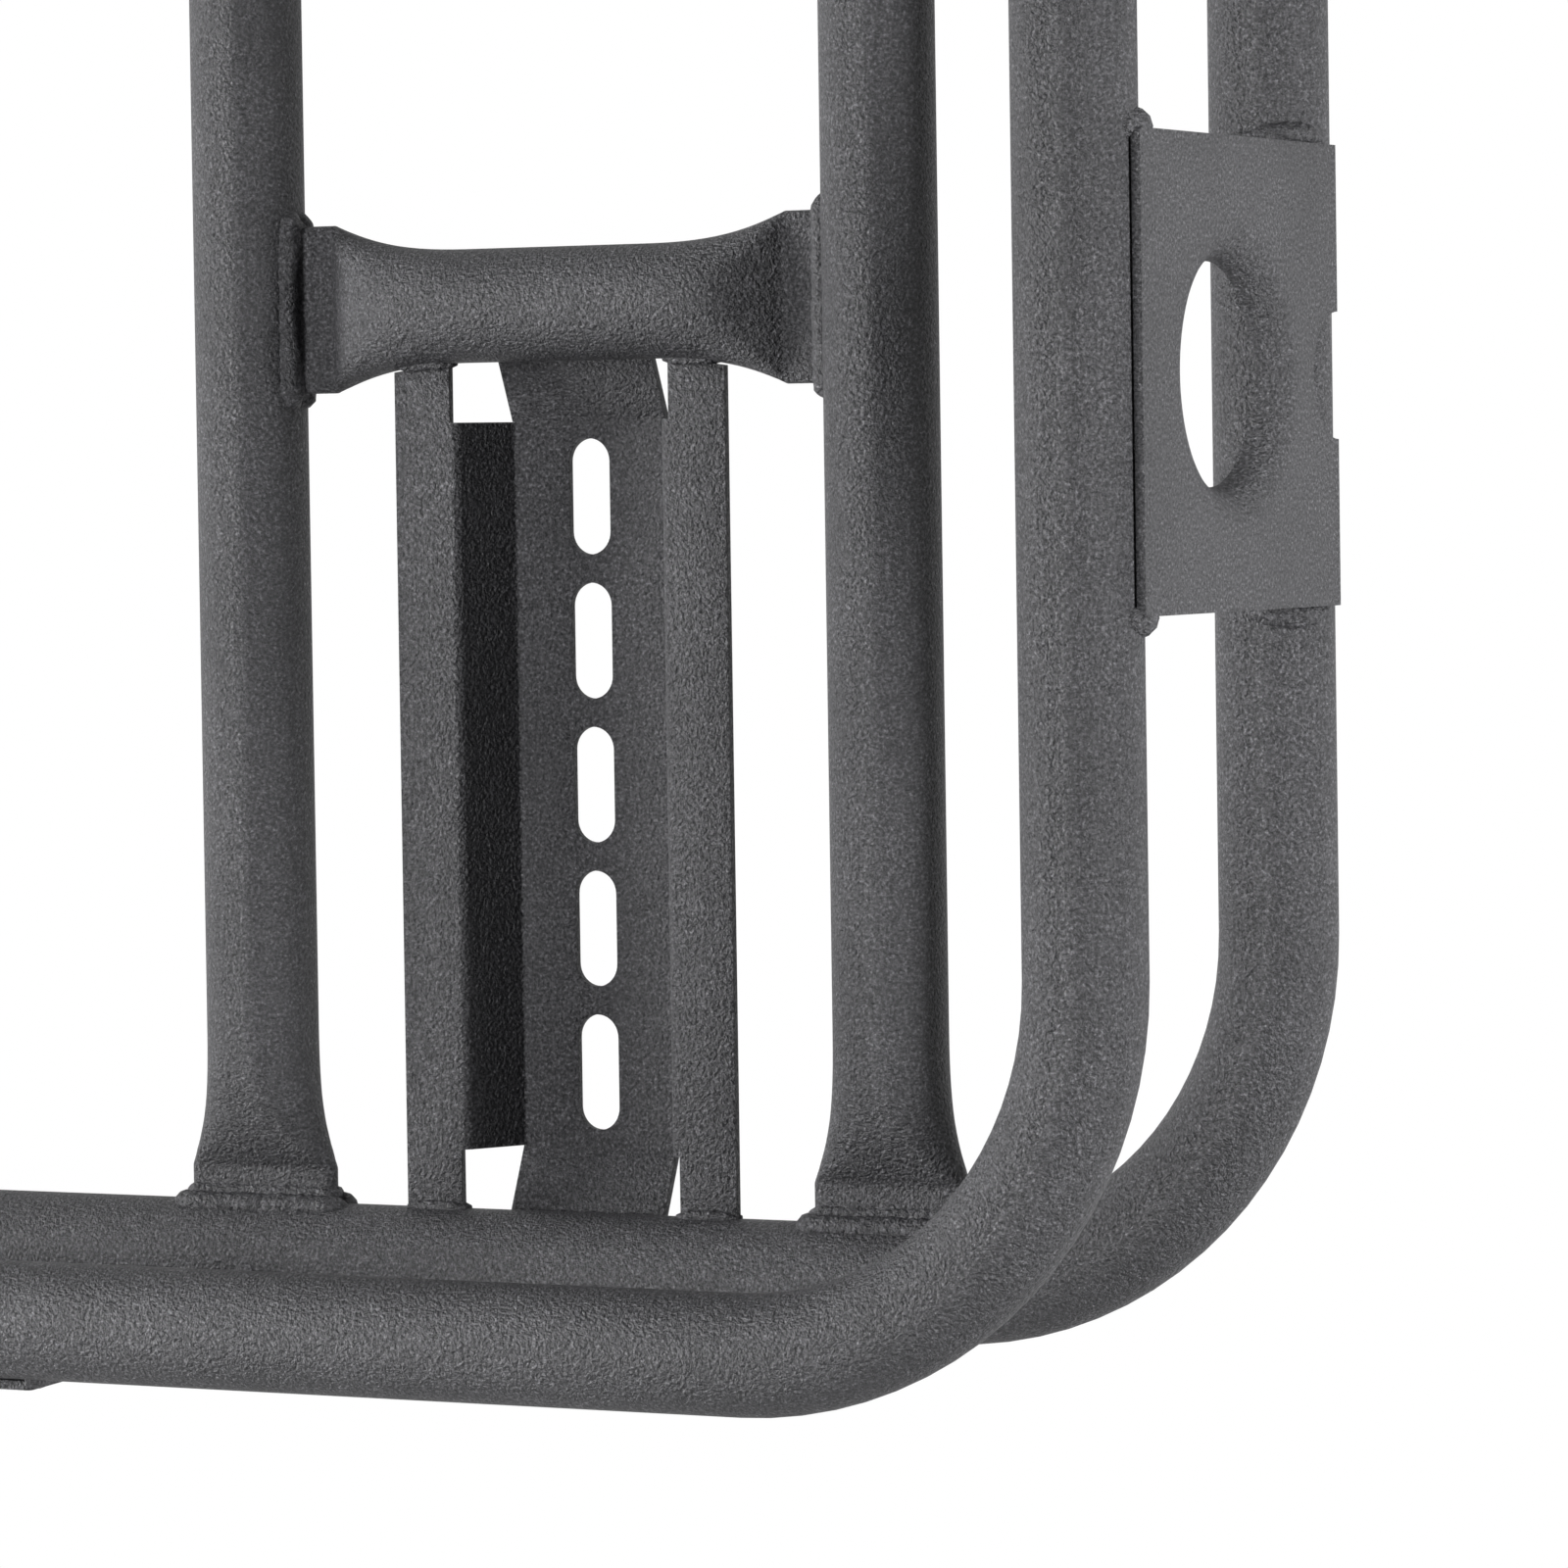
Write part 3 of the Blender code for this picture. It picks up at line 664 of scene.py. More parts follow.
SLAT_COUNT = 6
for half, y_sign in HALVES:
    for number in range(1, SLAT_COUNT + 1):
        node = f"{half}_slat_{number}"
        low, high, mid = box_of(node)
        add_piece(f"{node}_tube", along_y(crushed_mesh(high.y - low.y, SLAT_FLAT), low, mid), POWDER_COAT, f"{half}_half", [node])
    for node in [f"{half}_middle_tube"] + [f"{half}_cross_tube_{side}" for side, _ in SIDES]:
        low, high, mid = box_of(node)
        add_piece(f"{node}_bar", along_x(crushed_mesh(high.x - low.x, CROSS_FLAT), low, mid), POWDER_COAT, f"{half}_half", [node])
print("crushed tubes:", 2 * (SLAT_COUNT + 3))


# %% [markdown]
# ## Pressed sheet
# The mounting channels and the plates are 2 mm sheet. Each is drawn as one surface, given its gauge with Solidify
# and its broken edges with a fine Bevel. The row of slots in a channel is a Geometry Nodes tree: it lays one
# rounded cutter per slot along the web and takes them all away with a Mesh Boolean.

# %% Geometry Nodes: slot row


def slot_row_tree():
    tree, given, out = new_tree("slot_row", [
        ("Slots", "NodeSocketInt", 5), ("Pitch", "NodeSocketVector", None), ("First", "NodeSocketVector", None),
        ("Slot Length", "NodeSocketFloat", 26 * MM), ("Slot Width", "NodeSocketFloat", 10.3 * MM),
        ("Corner Steps", "NodeSocketInt", 10), ("Material", "NodeSocketMaterial", None)])
    add = tree.nodes.new
    row = add("GeometryNodeMeshLine")
    feed(tree, row, Count=given.outputs["Slots"], Start_Location=given.outputs["First"], Offset=given.outputs["Pitch"])
    outline = add("GeometryNodeCurvePrimitiveQuadrilateral")
    feed(tree, outline, Width=given.outputs["Slot Width"], Height=given.outputs["Slot Length"])
    ends = add("GeometryNodeFilletCurve")
    ends.mode = "POLY"
    nearly_half = math_node(tree, "MULTIPLY", given.outputs["Slot Width"], 0.499)
    feed(tree, ends, Curve=outline.outputs["Curve"], Count=given.outputs["Corner Steps"], Radius=nearly_half)
    rod = add("GeometryNodeCurvePrimitiveLine")
    feed(tree, rod, Start=(0, 0, -5 * MM), End=(0, 0, 5 * MM))
    cutter = feed(tree, add("GeometryNodeCurveToMesh"), Curve=rod.outputs["Curve"],
                  Profile_Curve=ends.outputs["Curve"], Fill_Caps=True)
    placed = feed(tree, add("GeometryNodeInstanceOnPoints"), Points=row.outputs["Mesh"],
                  Instance=cutter.outputs["Mesh"])
    cutters = feed(tree, add("GeometryNodeRealizeInstances"), Geometry=placed.outputs["Instances"])
    cut = add("GeometryNodeMeshBoolean")
    cut.operation = "DIFFERENCE"
    tree.links.new(given.outputs["Geometry"], cut.inputs["Mesh 1"])
    tree.links.new(cutters.outputs["Geometry"], cut.inputs["Mesh 2"])
    end_tree(tree, cut.outputs["Mesh"], given, out)
    return tree


SLOT_ROW = slot_row_tree()
print("tree:", SLOT_ROW.name)

# %% Mounting channels
SHEET = 2 * MM
CHANNEL_OPENING = 53.3 * MM
CHANNEL_WEB = 39 * MM
CHANNEL_BEND = 1.6 * MM
CHANNEL_TAB = 13.4 * MM
TAB_RISE = 6.2 * MM
TAB_REACH = 2.3 * MM
CHANNEL_COPE = 1.9 * MM
TAB_HALF = 19.4 * MM
SLOT_PITCH = 32.3 * MM
SLOTS = 5
BEND_STEPS = 7
channel_low, channel_high, channel_mid = box_of("front_channel_right")
CHANNEL_DEPTH = LOWER_Z - SHEET / 2
FLANGE_X = (channel_high.x - channel_low.x) / 2
CHANNEL_LENGTH = channel_high.y - channel_low.y


def tab_points():
    """The web's end from the fold outwards, as (y, z): a short bend, then a slope up to the tube."""
    slope = math.atan2(TAB_RISE, CHANNEL_TAB)
    points = []
    for step in range(1, BEND_STEPS + 1):
        turn = slope * step / BEND_STEPS
        points.append((CHANNEL_TAB - CHANNEL_BEND * math.sin(turn), -CHANNEL_DEPTH + CHANNEL_BEND * (1 - math.cos(turn))))
    last_y, last_z = points[-1]
    points.append((-TAB_REACH, last_z + (last_y + TAB_REACH) * math.tan(slope)))
    return points


def channel_sheet():
    """Middle surface of the channel, along +Y from the origin, with z = 0 at its flanges."""
    corners = [(0, -CHANNEL_DEPTH), (CHANNEL_WEB / 2, -CHANNEL_DEPTH), (CHANNEL_OPENING / 2, 0), (FLANGE_X, 0)]
    right = rounded_path(corners, CHANNEL_BEND, BEND_STEPS)[1:]
    section = [(-x, z) for x, z in reversed(right)] + [(x, z) for x, z in right]
    count, middle = len(section), len(right)
    bm = bmesh.new()
    near = [bm.verts.new((x, CHANNEL_TAB, z)) for x, z in section]
    far = [bm.verts.new((x, CHANNEL_LENGTH - CHANNEL_TAB, z)) for x, z in section]
    for i in range(count - 1):
        bm.faces.new((near[i], near[i + 1], far[i + 1], far[i]))
    for row, end_y, cope in ((near, 0.0, 0.0), (far, CHANNEL_LENGTH, -CHANNEL_COPE)):
        for outer, inner in ((0, 1), (count - 1, count - 2)):
            edge = bm.verts.new((section[outer][0], end_y + cope, 0))
            window = bm.verts.new((section[inner][0], end_y, 0))
            bm.faces.new((row[outer], row[inner], window, edge))
        pair = (row[middle - 1], row[middle])
        for y, z in tab_points():
            at = y if row is near else CHANNEL_LENGTH - y
            on = tuple(bm.verts.new((sign * TAB_HALF, at, z)) for sign in (-1, 1))
            bm.faces.new((pair[0], pair[1], on[1], on[0]))
            pair = on
    bmesh.ops.recalc_face_normals(bm, faces=bm.faces)
    return mesh_of(bm, "channel_sheet")


def channel_piece():
    plain = baked(channel_sheet(), solidify(SHEET, 0.0))
    first = (0, CHANNEL_LENGTH / 2 - SLOT_PITCH * (SLOTS - 1) / 2, -CHANNEL_DEPTH)
    slotted = run_tree(SLOT_ROW, plain, Slots=SLOTS, Pitch=(0, SLOT_PITCH, 0), First=first, Slot_Length=26 * MM,
                       Slot_Width=10.3 * MM, Material=POWDER_COAT)
    piece = baked(slotted, bevel(0.35 * MM))
    piece.transform(Matrix.Translation((channel_mid.x, channel_low.y, LOWER_Z)))
    smooth(piece)
    return piece


channel = channel_piece()
for half, y_sign in HALVES:
    for side, x_sign in SIDES:
        add_piece(f"{half}_channel_{side}_press", reflected(channel, x_sign, y_sign), POWDER_COAT, f"{half}_half",
                  [f"{half}_channel_{side}"])
print("channels: 4,", len(channel.polygons), "faces each,", SLOTS, "slots in each")

# %% [markdown]
# ## Plates with a pressed hole
# Twelve plates tie the upper rail to the lower one. Their large hole is pressed inwards with a wide, smooth lip,
# and a half-round notch is cut in the lower edge. The lip follows a quarter of an ellipse, so it leaves the flat
# without a crease and ends square to it.

# %% Plates
MOUTH_RADIUS = 32.0 * MM
HOLE_RADIUS = 23.0 * MM
HOLE_DEPTH = 7 * MM
HOLE_HEIGHT = 53.5 * MM
NOTCH_RADIUS = 13.35 * MM
PLATE_CORNER = 1.2 * MM
HOLE_SIDES = 88
LIP_STEPS = 9
NOTCH_STEPS = 28


def plate_piece(length, height):
    """A plate in the XZ plane, its outer face at y = 0 and its lip pressed towards +Y."""
    half = length / 2
    notch = [(-NOTCH_RADIUS * math.cos(math.pi * i / NOTCH_STEPS), NOTCH_RADIUS * math.sin(math.pi * i / NOTCH_STEPS))
             for i in range(NOTCH_STEPS + 1)]
    top = rounded_path([(half, 0), (half, height), (-half, height), (-half, 0)], PLATE_CORNER, 5)
    outline = [(p[0], p[1]) for p in top] + notch
    around = [2 * math.pi * i / HOLE_SIDES for i in range(HOLE_SIDES)]
    hole = [(MOUTH_RADIUS * math.cos(a), HOLE_HEIGHT + MOUTH_RADIUS * math.sin(a)) for a in around]
    bm = bmesh.new()
    edges, rings = [], []
    for loop in (outline, hole):
        ring = [bm.verts.new((x, 0, z)) for x, z in loop]
        edges += [bm.edges.new((ring[i], ring[(i + 1) % len(ring)])) for i in range(len(ring))]
        rings.append(ring)
    bmesh.ops.triangle_fill(bm, use_beauty=True, use_dissolve=False, edges=edges)
    ring = rings[1]
    for step in range(1, LIP_STEPS + 1):
        turn = math.pi / 2 * step / LIP_STEPS
        radius = MOUTH_RADIUS - (MOUTH_RADIUS - HOLE_RADIUS) * math.sin(turn)
        deep = HOLE_DEPTH * (1 - math.cos(turn))
        deeper = [bm.verts.new((radius * math.cos(a), deep, HOLE_HEIGHT + radius * math.sin(a))) for a in around]
        for i in range(HOLE_SIDES):
            j = (i + 1) % HOLE_SIDES
            bm.faces.new((ring[i], ring[j], deeper[j], deeper[i]))
        ring = deeper
    bmesh.ops.recalc_face_normals(bm, faces=bm.faces)
    if max(bm.faces, key=lambda face: face.calc_area()).normal.y > 0:
        bmesh.ops.reverse_faces(bm, faces=bm.faces)
    piece = baked(mesh_of(bm, "plate"), solidify(SHEET, -1.0), bevel(0.35 * MM))
    smooth(piece)
    return piece


def side_plate(node):
    low, high, mid = box_of(node)
    piece = plate_piece(high.y - low.y, high.z - LOWER_Z)
    piece.transform(Matrix.Translation((high.x, mid.y, LOWER_Z)) @ Matrix.Rotation(math.radians(90), 4, "Z"))
    return piece


def end_plate(node):
    low, high, mid = box_of(node)
    lean = math.atan2(LOWER_END_Y - UPPER_END_Y, UPPER_Z - LOWER_Z)
    height = (high.z - LOWER_Z) / math.cos(lean)
    piece = plate_piece(high.x - low.x, height)
    place = Matrix.Translation((mid.x, LOWER_END_Y, LOWER_Z)) @ Matrix.Rotation(lean, 4, "X")
    piece.transform(place @ Matrix.Translation((0, -(TUBE_R + FIT + SHEET), 0)))
    return piece


plates = {"side_plate_{}_1": side_plate("front_side_plate_right_1"),
          "side_plate_{}_2": side_plate("front_side_plate_right_2"),
          "end_plate_{}": end_plate("front_end_plate_right")}
for half, y_sign in HALVES:
    for side, x_sign in SIDES:
        for pattern, piece in plates.items():
            node = f"{half}_" + pattern.format(side)
            add_piece(f"{node}_press", reflected(piece, x_sign, y_sign), POWDER_COAT, f"{half}_half", [node])
print("plates:", 4 * len(plates))

# %% [markdown]
# ## Weld beads
# Every joint between two pieces has a fillet weld, and the coat follows it. A bead is drawn as a short path with a
# radius at each point. The Geometry Nodes tree sweeps a circle along it, ripples and tapers it, and roughens it
# with noise, so no two beads look the same. The paths are made for the front right and reflected.

# %% Geometry Nodes: weld bead


def weld_bead_tree():
    tree, given, out = new_tree("weld_bead", [
        ("Step", "NodeSocketFloat", 0.7 * MM), ("Sides", "NodeSocketInt", 12), ("Taper", "NodeSocketFloat", 2.5 * MM),
        ("Ripple Pitch", "NodeSocketFloat", 2.6 * MM), ("Ripple", "NodeSocketFloat", 0.05),
        ("Lump Size", "NodeSocketFloat", 5 * MM), ("Lumps", "NodeSocketFloat", 0.7 * MM),
        ("Material", "NodeSocketMaterial", None)])
    add = tree.nodes.new
    curve = feed(tree, add("GeometryNodeMeshToCurve"), Mesh=given.outputs["Geometry"])
    fine = add("GeometryNodeResampleCurve")
    fine.mode = "LENGTH"
    feed(tree, fine, Curve=curve.outputs["Curve"], Length=given.outputs["Step"])
    along = add("GeometryNodeSplineParameter").outputs["Length"]
    total = add("GeometryNodeSplineLength").outputs["Length"]
    to_end = math_node(tree, "MINIMUM", along, math_node(tree, "SUBTRACT", total, along))
    share = math_node(tree, "DIVIDE", to_end, given.outputs["Taper"], clamp=True)
    taper = math_node(tree, "POWER", math_node(tree, "MAXIMUM", share, 0.12), 0.5)
    phase = math_node(tree, "MULTIPLY", math_node(tree, "DIVIDE", along, given.outputs["Ripple Pitch"]), 2 * math.pi)
    wave = math_node(tree, "MULTIPLY", math_node(tree, "SINE", phase), given.outputs["Ripple"])
    size = add("GeometryNodeInputNamedAttribute")
    size.inputs["Name"].default_value = "bead"
    radius = math_node(tree, "MULTIPLY", math_node(tree, "MULTIPLY", size.outputs[0], taper),
                       math_node(tree, "ADD", wave, 1.0))
    circle = feed(tree, add("GeometryNodeCurvePrimitiveCircle"), Resolution=given.outputs["Sides"], Radius=1.0)
    sweep = feed(tree, add("GeometryNodeCurveToMesh"), Curve=fine.outputs["Curve"],
                 Profile_Curve=circle.outputs["Curve"], Scale=radius, Fill_Caps=True)
    lump_scale = math_node(tree, "DIVIDE", 1.0, given.outputs["Lump Size"])
    place = add("GeometryNodeInputPosition").outputs["Position"]
    lumps = math_node(tree, "SUBTRACT", noise(tree, place, lump_scale, 2.0, 0.6), 0.5)
    push = add("ShaderNodeVectorMath")
    push.operation = "SCALE"
    tree.links.new(add("GeometryNodeInputNormal").outputs["Normal"], push.inputs[0])
    tree.links.new(math_node(tree, "MULTIPLY", math_node(tree, "MULTIPLY", lumps, 2.0), given.outputs["Lumps"]),
                   push.inputs["Scale"])
    rough = feed(tree, add("GeometryNodeSetPosition"), Geometry=sweep.outputs["Mesh"], Offset=push.outputs["Vector"])
    soft = feed(tree, add("GeometryNodeSetShadeSmooth"), Geometry=rough.outputs["Geometry"])
    end_tree(tree, soft.outputs["Geometry"], given, out)
    return tree


WELD_BEAD = weld_bead_tree()
print("tree:", WELD_BEAD.name)

# %% Weld beads of the frame
BEAD = 2.7 * MM
SMALL_BEAD = 2.0 * MM
flat_wide, flat_high = section(1.0)


class Beads:
    """Collects bead paths, each a list of points and a radius or a list of radii."""

    def __init__(self):
        self.paths = []

    def add(self, points, radius):
        radii = radius if isinstance(radius, list) else [radius] * len(points)
        self.paths.append(([Vector(point) for point in points], radii))

    def add_both_sides(self, points, radius):
        """A bead on the right and its reflection on the left."""
        self.add(points, radius)
        self.add([(-point[0], point[1], point[2]) for point in points], radius)

    def mesh(self, **settings):
        points, edges, radii = [], [], []
        for path, sizes in self.paths:
            start = len(points)
            points += path
            radii += sizes
            edges += [(i, i + 1) for i in range(start, start + len(path) - 1)]
        mesh = bpy.data.meshes.new("bead_paths")
        mesh.from_pydata(points, edges, [])
        attribute = mesh.attributes.new("bead", "FLOAT", "POINT")
        attribute.data.foreach_set("value", radii)
        return run_tree(WELD_BEAD, mesh, Material=WELD_COAT, **settings)


def end_bead(beads, middle, away, across, half_wide, reach):
    """Two passes above and below a flattened end: away points from the tube it meets, across along the joint.

    The first pass climbs the tube and wraps the corners. The second one is smaller and lies on the flat, at reach.
    """
    middle, away, across = Vector(middle), Vector(away), Vector(across)
    wrap = ((-1.15, 0.0), (-1.08, 0.6), (-0.97, 1.0), (-0.5, 1.0), (0.0, 1.05), (0.5, 1.0), (0.97, 1.0), (1.08, 0.6),
            (1.15, 0.0))
    passes = ((-0.8 * MM, 3.3 * MM, 1.0, BEAD * 1.05), (reach, 1.1 * MM, 0.93, BEAD * 0.78))
    for out, lift, width, radius in passes:
        for up in (1, -1):
            points = [middle + across * half_wide * share * width + away * out + Vector((0, 0, up * rise * lift))
                      for share, rise in wrap]
            beads.add_both_sides([tuple(point) for point in points], radius)


def edge_bead(beads, middle, away, across, half_wide, radius):
    """One small pass above and below the end of a sheet."""
    middle, away, across = Vector(middle), Vector(away), Vector(across)
    for up in (1, -1):
        points = [middle + across * half_wide * share + away * 0.1 * MM + Vector((0, 0, up * 1.1 * MM))
                  for share in (-1, -0.5, 0, 0.5, 1)]
        beads.add_both_sides([tuple(point) for point in points], radius)


def frame_beads():
    beads = Beads()
    middle_low, middle_high, middle_mid = box_of("front_middle_tube")
    for number in (1, 2, 3):
        low, high, mid = box_of(f"front_slat_{number}")
        end_bead(beads, (mid.x, LOWER_END_Y + TUBE_R, LOWER_Z), (0, 1, 0), (1, 0, 0), flat_wide, 1.9 * MM)
        end_bead(beads, (mid.x, middle_mid.y - TUBE_R, LOWER_Z), (0, -1, 0), (1, 0, 0), flat_wide, 1.9 * MM)
    end_bead(beads, (SIDE_X - TUBE_R, middle_mid.y, LOWER_Z), (-1, 0, 0), (0, 1, 0), flat_wide, 0.5 * MM)
    low, high, mid = box_of("front_cross_tube_right")
    for x, away in ((low.x, 1), (high.x, -1)):
        end_bead(beads, (x - away * FIT, mid.y, LOWER_Z), (away, 0, 0), (0, 1, 0), flat_wide, 0.3 * MM)
    for tube_y, away in ((LOWER_END_Y, 1), (mid.y, -1)):
        for across in (-1, 1):
            x = channel_mid.x + across * (CHANNEL_OPENING / 2 + FLANGE_X) / 2
            half = (FLANGE_X - CHANNEL_OPENING / 2) / 2
            edge_bead(beads, (x, tube_y + away * TUBE_R, LOWER_Z), (0, away, 0), (1, 0, 0), half, 1.5 * MM)
        tab_y, tab_z = tab_points()[-1]
        y = tube_y + away * (TUBE_R + FIT + tab_y - 0.2 * MM)
        for rise in (1.6 * MM, -1.2 * MM):
            half = TAB_HALF
            beads.add_both_sides([(channel_mid.x + half * share, y, LOWER_Z + tab_z + rise)
                                  for share in (-1, -0.5, 0, 0.5, 1)], SMALL_BEAD)
    return beads


def on_tube(angle, height, out=0.0):
    """A point beside the right rail, at an angle up from its outermost line, as (x, z)."""
    reach = TUBE_R + out
    return SIDE_X + reach * math.cos(math.radians(angle)), height + reach * math.sin(math.radians(angle))


def plate_beads(beads):
    """At each upright edge: a short fillet on the upper rail and a long lens-shaped one round the lower rail."""
    lens_steps = 14
    for number in (1, 2):
        low, high, mid = box_of(f"front_side_plate_right_{number}")
        for edge_y, out in ((low.y, -1), (high.y, 1)):
            points, radii = [], []
            for step in range(lens_steps + 1):
                share = step / lens_steps
                x, z = on_tube(-3 + 107 * share, LOWER_Z, -1.2 * MM)
                points.append((x, edge_y + out * (0.2 + 1.6 * math.sin(math.pi * share)) * MM, z))
                radii.append(BEAD * (0.55 + 0.65 * math.sin(math.pi * share)))
            beads.add_both_sides(points, radii)
            upright = ((-11, 5.6, 0.5), (-9, 8.2, 0.8), (-6, 10.2, 1.0), (-2, 11.1, 1.0), (1.5, 10.6, 0.85),
                       (4.5, 8.6, 0.45))
            beads.add_both_sides([(SIDE_X + x * MM, edge_y + out * 0.4 * MM, UPPER_Z + z * MM) for z, x, _ in upright],
                                 [BEAD * 1.45 * share for _, _, share in upright])
    low, high, mid = box_of("front_end_plate_right")
    for edge_x, out in ((low.x, -1), (high.x, 1)):
        for height, end_y, angles in ((LOWER_Z, LOWER_END_Y, range(-3, 105, 12)), (UPPER_Z, UPPER_END_Y, range(-46, 15, 12))):
            points = []
            for angle in angles:
                turn = math.radians(angle)
                reach = TUBE_R - 0.6 * MM
                points.append((edge_x + out * 0.6 * MM, end_y - reach * math.cos(turn), height + reach * math.sin(turn)))
            beads.add_both_sides(points, BEAD)


frame_welds = frame_beads()
plate_beads(frame_welds)
weld_mesh = frame_welds.mesh(Step=0.8 * MM, Sides=12, Taper=3 * MM, Lumps=0.55 * MM)
for half, y_sign in HALVES:
    add_piece(f"{half}_welds", reflected(weld_mesh, 1, y_sign), WELD_COAT, f"{half}_half")
print("weld beads:", 2 * len(frame_welds.paths), "in two pieces of", len(weld_mesh.polygons), "faces")

# %% [markdown]
# ## Hinge and lock hardware
# Each side has two lugs welded to the front half, a knuckle on the rear half between them, and an M8 hex bolt
# with its nut through all three. A zinc-plated sleeve slides across the split to lock the lower rails. Turned
# shapes come from one helper that spins a profile, and the bolt's thread is a spiral of one grid.

# %% Helpers for turned and cut shapes
AROUND_HARDWARE = 48


def turned(profile, steps=AROUND_HARDWARE, closed=False):
    """Spins (along, radius) points about the X axis. An open profile begins and ends with a flat disc."""
    bm = bmesh.new()
    rings = [[bm.verts.new((along, radius * math.cos(2 * math.pi * i / steps), radius * math.sin(2 * math.pi * i / steps)))
              for i in range(steps)] for along, radius in profile]
    pairs = list(zip(rings, rings[1:])) + ([(rings[-1], rings[0])] if closed else [])
    for near, far in pairs:
        for i in range(steps):
            j = (i + 1) % steps
            bm.faces.new((near[i], near[j], far[j], far[i]))
    if not closed:
        bm.faces.new(rings[0])
        bm.faces.new(rings[-1])
    bmesh.ops.recalc_face_normals(bm, faces=bm.faces)
    return mesh_of(bm, "turned")


def hexagon_radius(angle, flats):
    """How far a hexagon's side is from its centre at an angle."""
    return flats / 2 / math.cos((angle % (math.pi / 3)) - math.pi / 6)


def hex_block(start, end, flats, bore, chamfer_start):
    """A hex nut or bolt head along X with its corners turned off, and a bore or none."""
    bm = bmesh.new()
    angles = [2 * math.pi * i / AROUND_HARDWARE for i in range(AROUND_HARDWARE)]
    rings = []

    def ring(place):
        rings.append([bm.verts.new((x, r * math.cos(a), r * math.sin(a))) for a in angles for x, r in (place(a),)])

    face_radius = flats / 2 * 0.96

    def cut_back(angle):
        return (hexagon_radius(angle, flats) - face_radius) * 0.5

    if bore:
        ring(lambda a: (start, bore + 0.5 * MM))
    ring(lambda a: (start, face_radius if chamfer_start else hexagon_radius(a, flats)))
    if chamfer_start:
        ring(lambda a: (start + cut_back(a), hexagon_radius(a, flats)))
    ring(lambda a: (end - cut_back(a), hexagon_radius(a, flats)))
    ring(lambda a: (end, face_radius))
    if bore:
        ring(lambda a: (end, bore + 0.5 * MM))
        ring(lambda a: (end - 0.5 * MM, bore))
        ring(lambda a: (start + 0.5 * MM, bore))
        rings.append(rings[0])
    for near, far in zip(rings, rings[1:]):
        for i in range(AROUND_HARDWARE):
            j = (i + 1) % AROUND_HARDWARE
            bm.faces.new((near[i], near[j], far[j], far[i]))
    if not bore:
        bm.faces.new(rings[0])
        bm.faces.new(rings[-1])
    bmesh.ops.recalc_face_normals(bm, faces=bm.faces)
    return mesh_of(bm, "hex_block")


def joined(meshes):
    bm = bmesh.new()
    for mesh in meshes:
        bm.from_mesh(mesh)
    return mesh_of(bm, "joined")


def cut_plate(outline, bore, x_low, x_high, edge):
    """A flat piece along X from a side outline of (y, z) points, with a bore at the origin and broken edges."""
    bm = bmesh.new()
    hole = [(bore * math.cos(2 * math.pi * i / AROUND_HARDWARE), bore * math.sin(2 * math.pi * i / AROUND_HARDWARE))
            for i in range(AROUND_HARDWARE)]
    edges = []
    for loop in (outline, hole):
        ring = [bm.verts.new((x_low, y, z)) for y, z in loop]
        edges += [bm.edges.new((ring[i], ring[(i + 1) % len(ring)])) for i in range(len(ring))]
    bmesh.ops.triangle_fill(bm, use_beauty=True, use_dissolve=False, edges=edges)
    grown = bmesh.ops.extrude_face_region(bm, geom=list(bm.faces))
    lifted = [v for v in grown["geom"] if isinstance(v, bmesh.types.BMVert)]
    bmesh.ops.translate(bm, verts=lifted, vec=(x_high - x_low, 0, 0))
    bmesh.ops.recalc_face_normals(bm, faces=bm.faces)
    piece = baked(mesh_of(bm, "cut_plate"), bevel(edge))
    smooth(piece)
    return piece


print("hardware helpers ready")

# %% Hinge, lock sleeves and end plugs
BOLT_R = 4 * MM
BORE_R = 4.3 * MM
BOLT_FLATS = 13 * MM
THREAD_PITCH = 1.25 * MM
THREAD_DEPTH = 0.6 * MM
EAR_RADIUS = 9 * MM
KNUCKLE_RADIUS = 7 * MM
SLEEVE_WALL = 1.8 * MM
bolt_low, bolt_high, bolt_mid = box_of("hinge_bolt_right")
nut_low, nut_high, nut_mid = box_of("hinge_nut_right")
HINGE = Vector((SIDE_X, 0, bolt_mid.z))


def lug_mesh(node):
    low, high, mid = box_of(node)
    bottom, top = low.z - HINGE.z, UPPER_Z + (UPPER_Z - low.z) - HINGE.z
    ear = [(EAR_RADIUS * math.cos(math.radians(angle)), EAR_RADIUS * math.sin(math.radians(angle)))
           for angle in range(0, 121, 5)]
    outline = [(low.y, bottom), (-4 * MM, bottom)] + ear + [(low.y, top)]
    return cut_plate(outline, BORE_R, low.x - HINGE.x, high.x - HINGE.x, 0.4 * MM)


def knuckle_mesh():
    low, high, mid = box_of("hinge_knuckle_right")
    foot = low.z - HINGE.z
    barrel = [(KNUCKLE_RADIUS * math.cos(math.radians(angle)), KNUCKLE_RADIUS * math.sin(math.radians(angle)))
              for angle in range(40, 271, 5)]
    outline = [(high.y, foot), (high.y, foot + 3 * MM)] + barrel + [(4 * MM, foot)]
    return cut_plate(outline, BORE_R, low.x - HINGE.x, high.x - HINGE.x, 0.4 * MM)


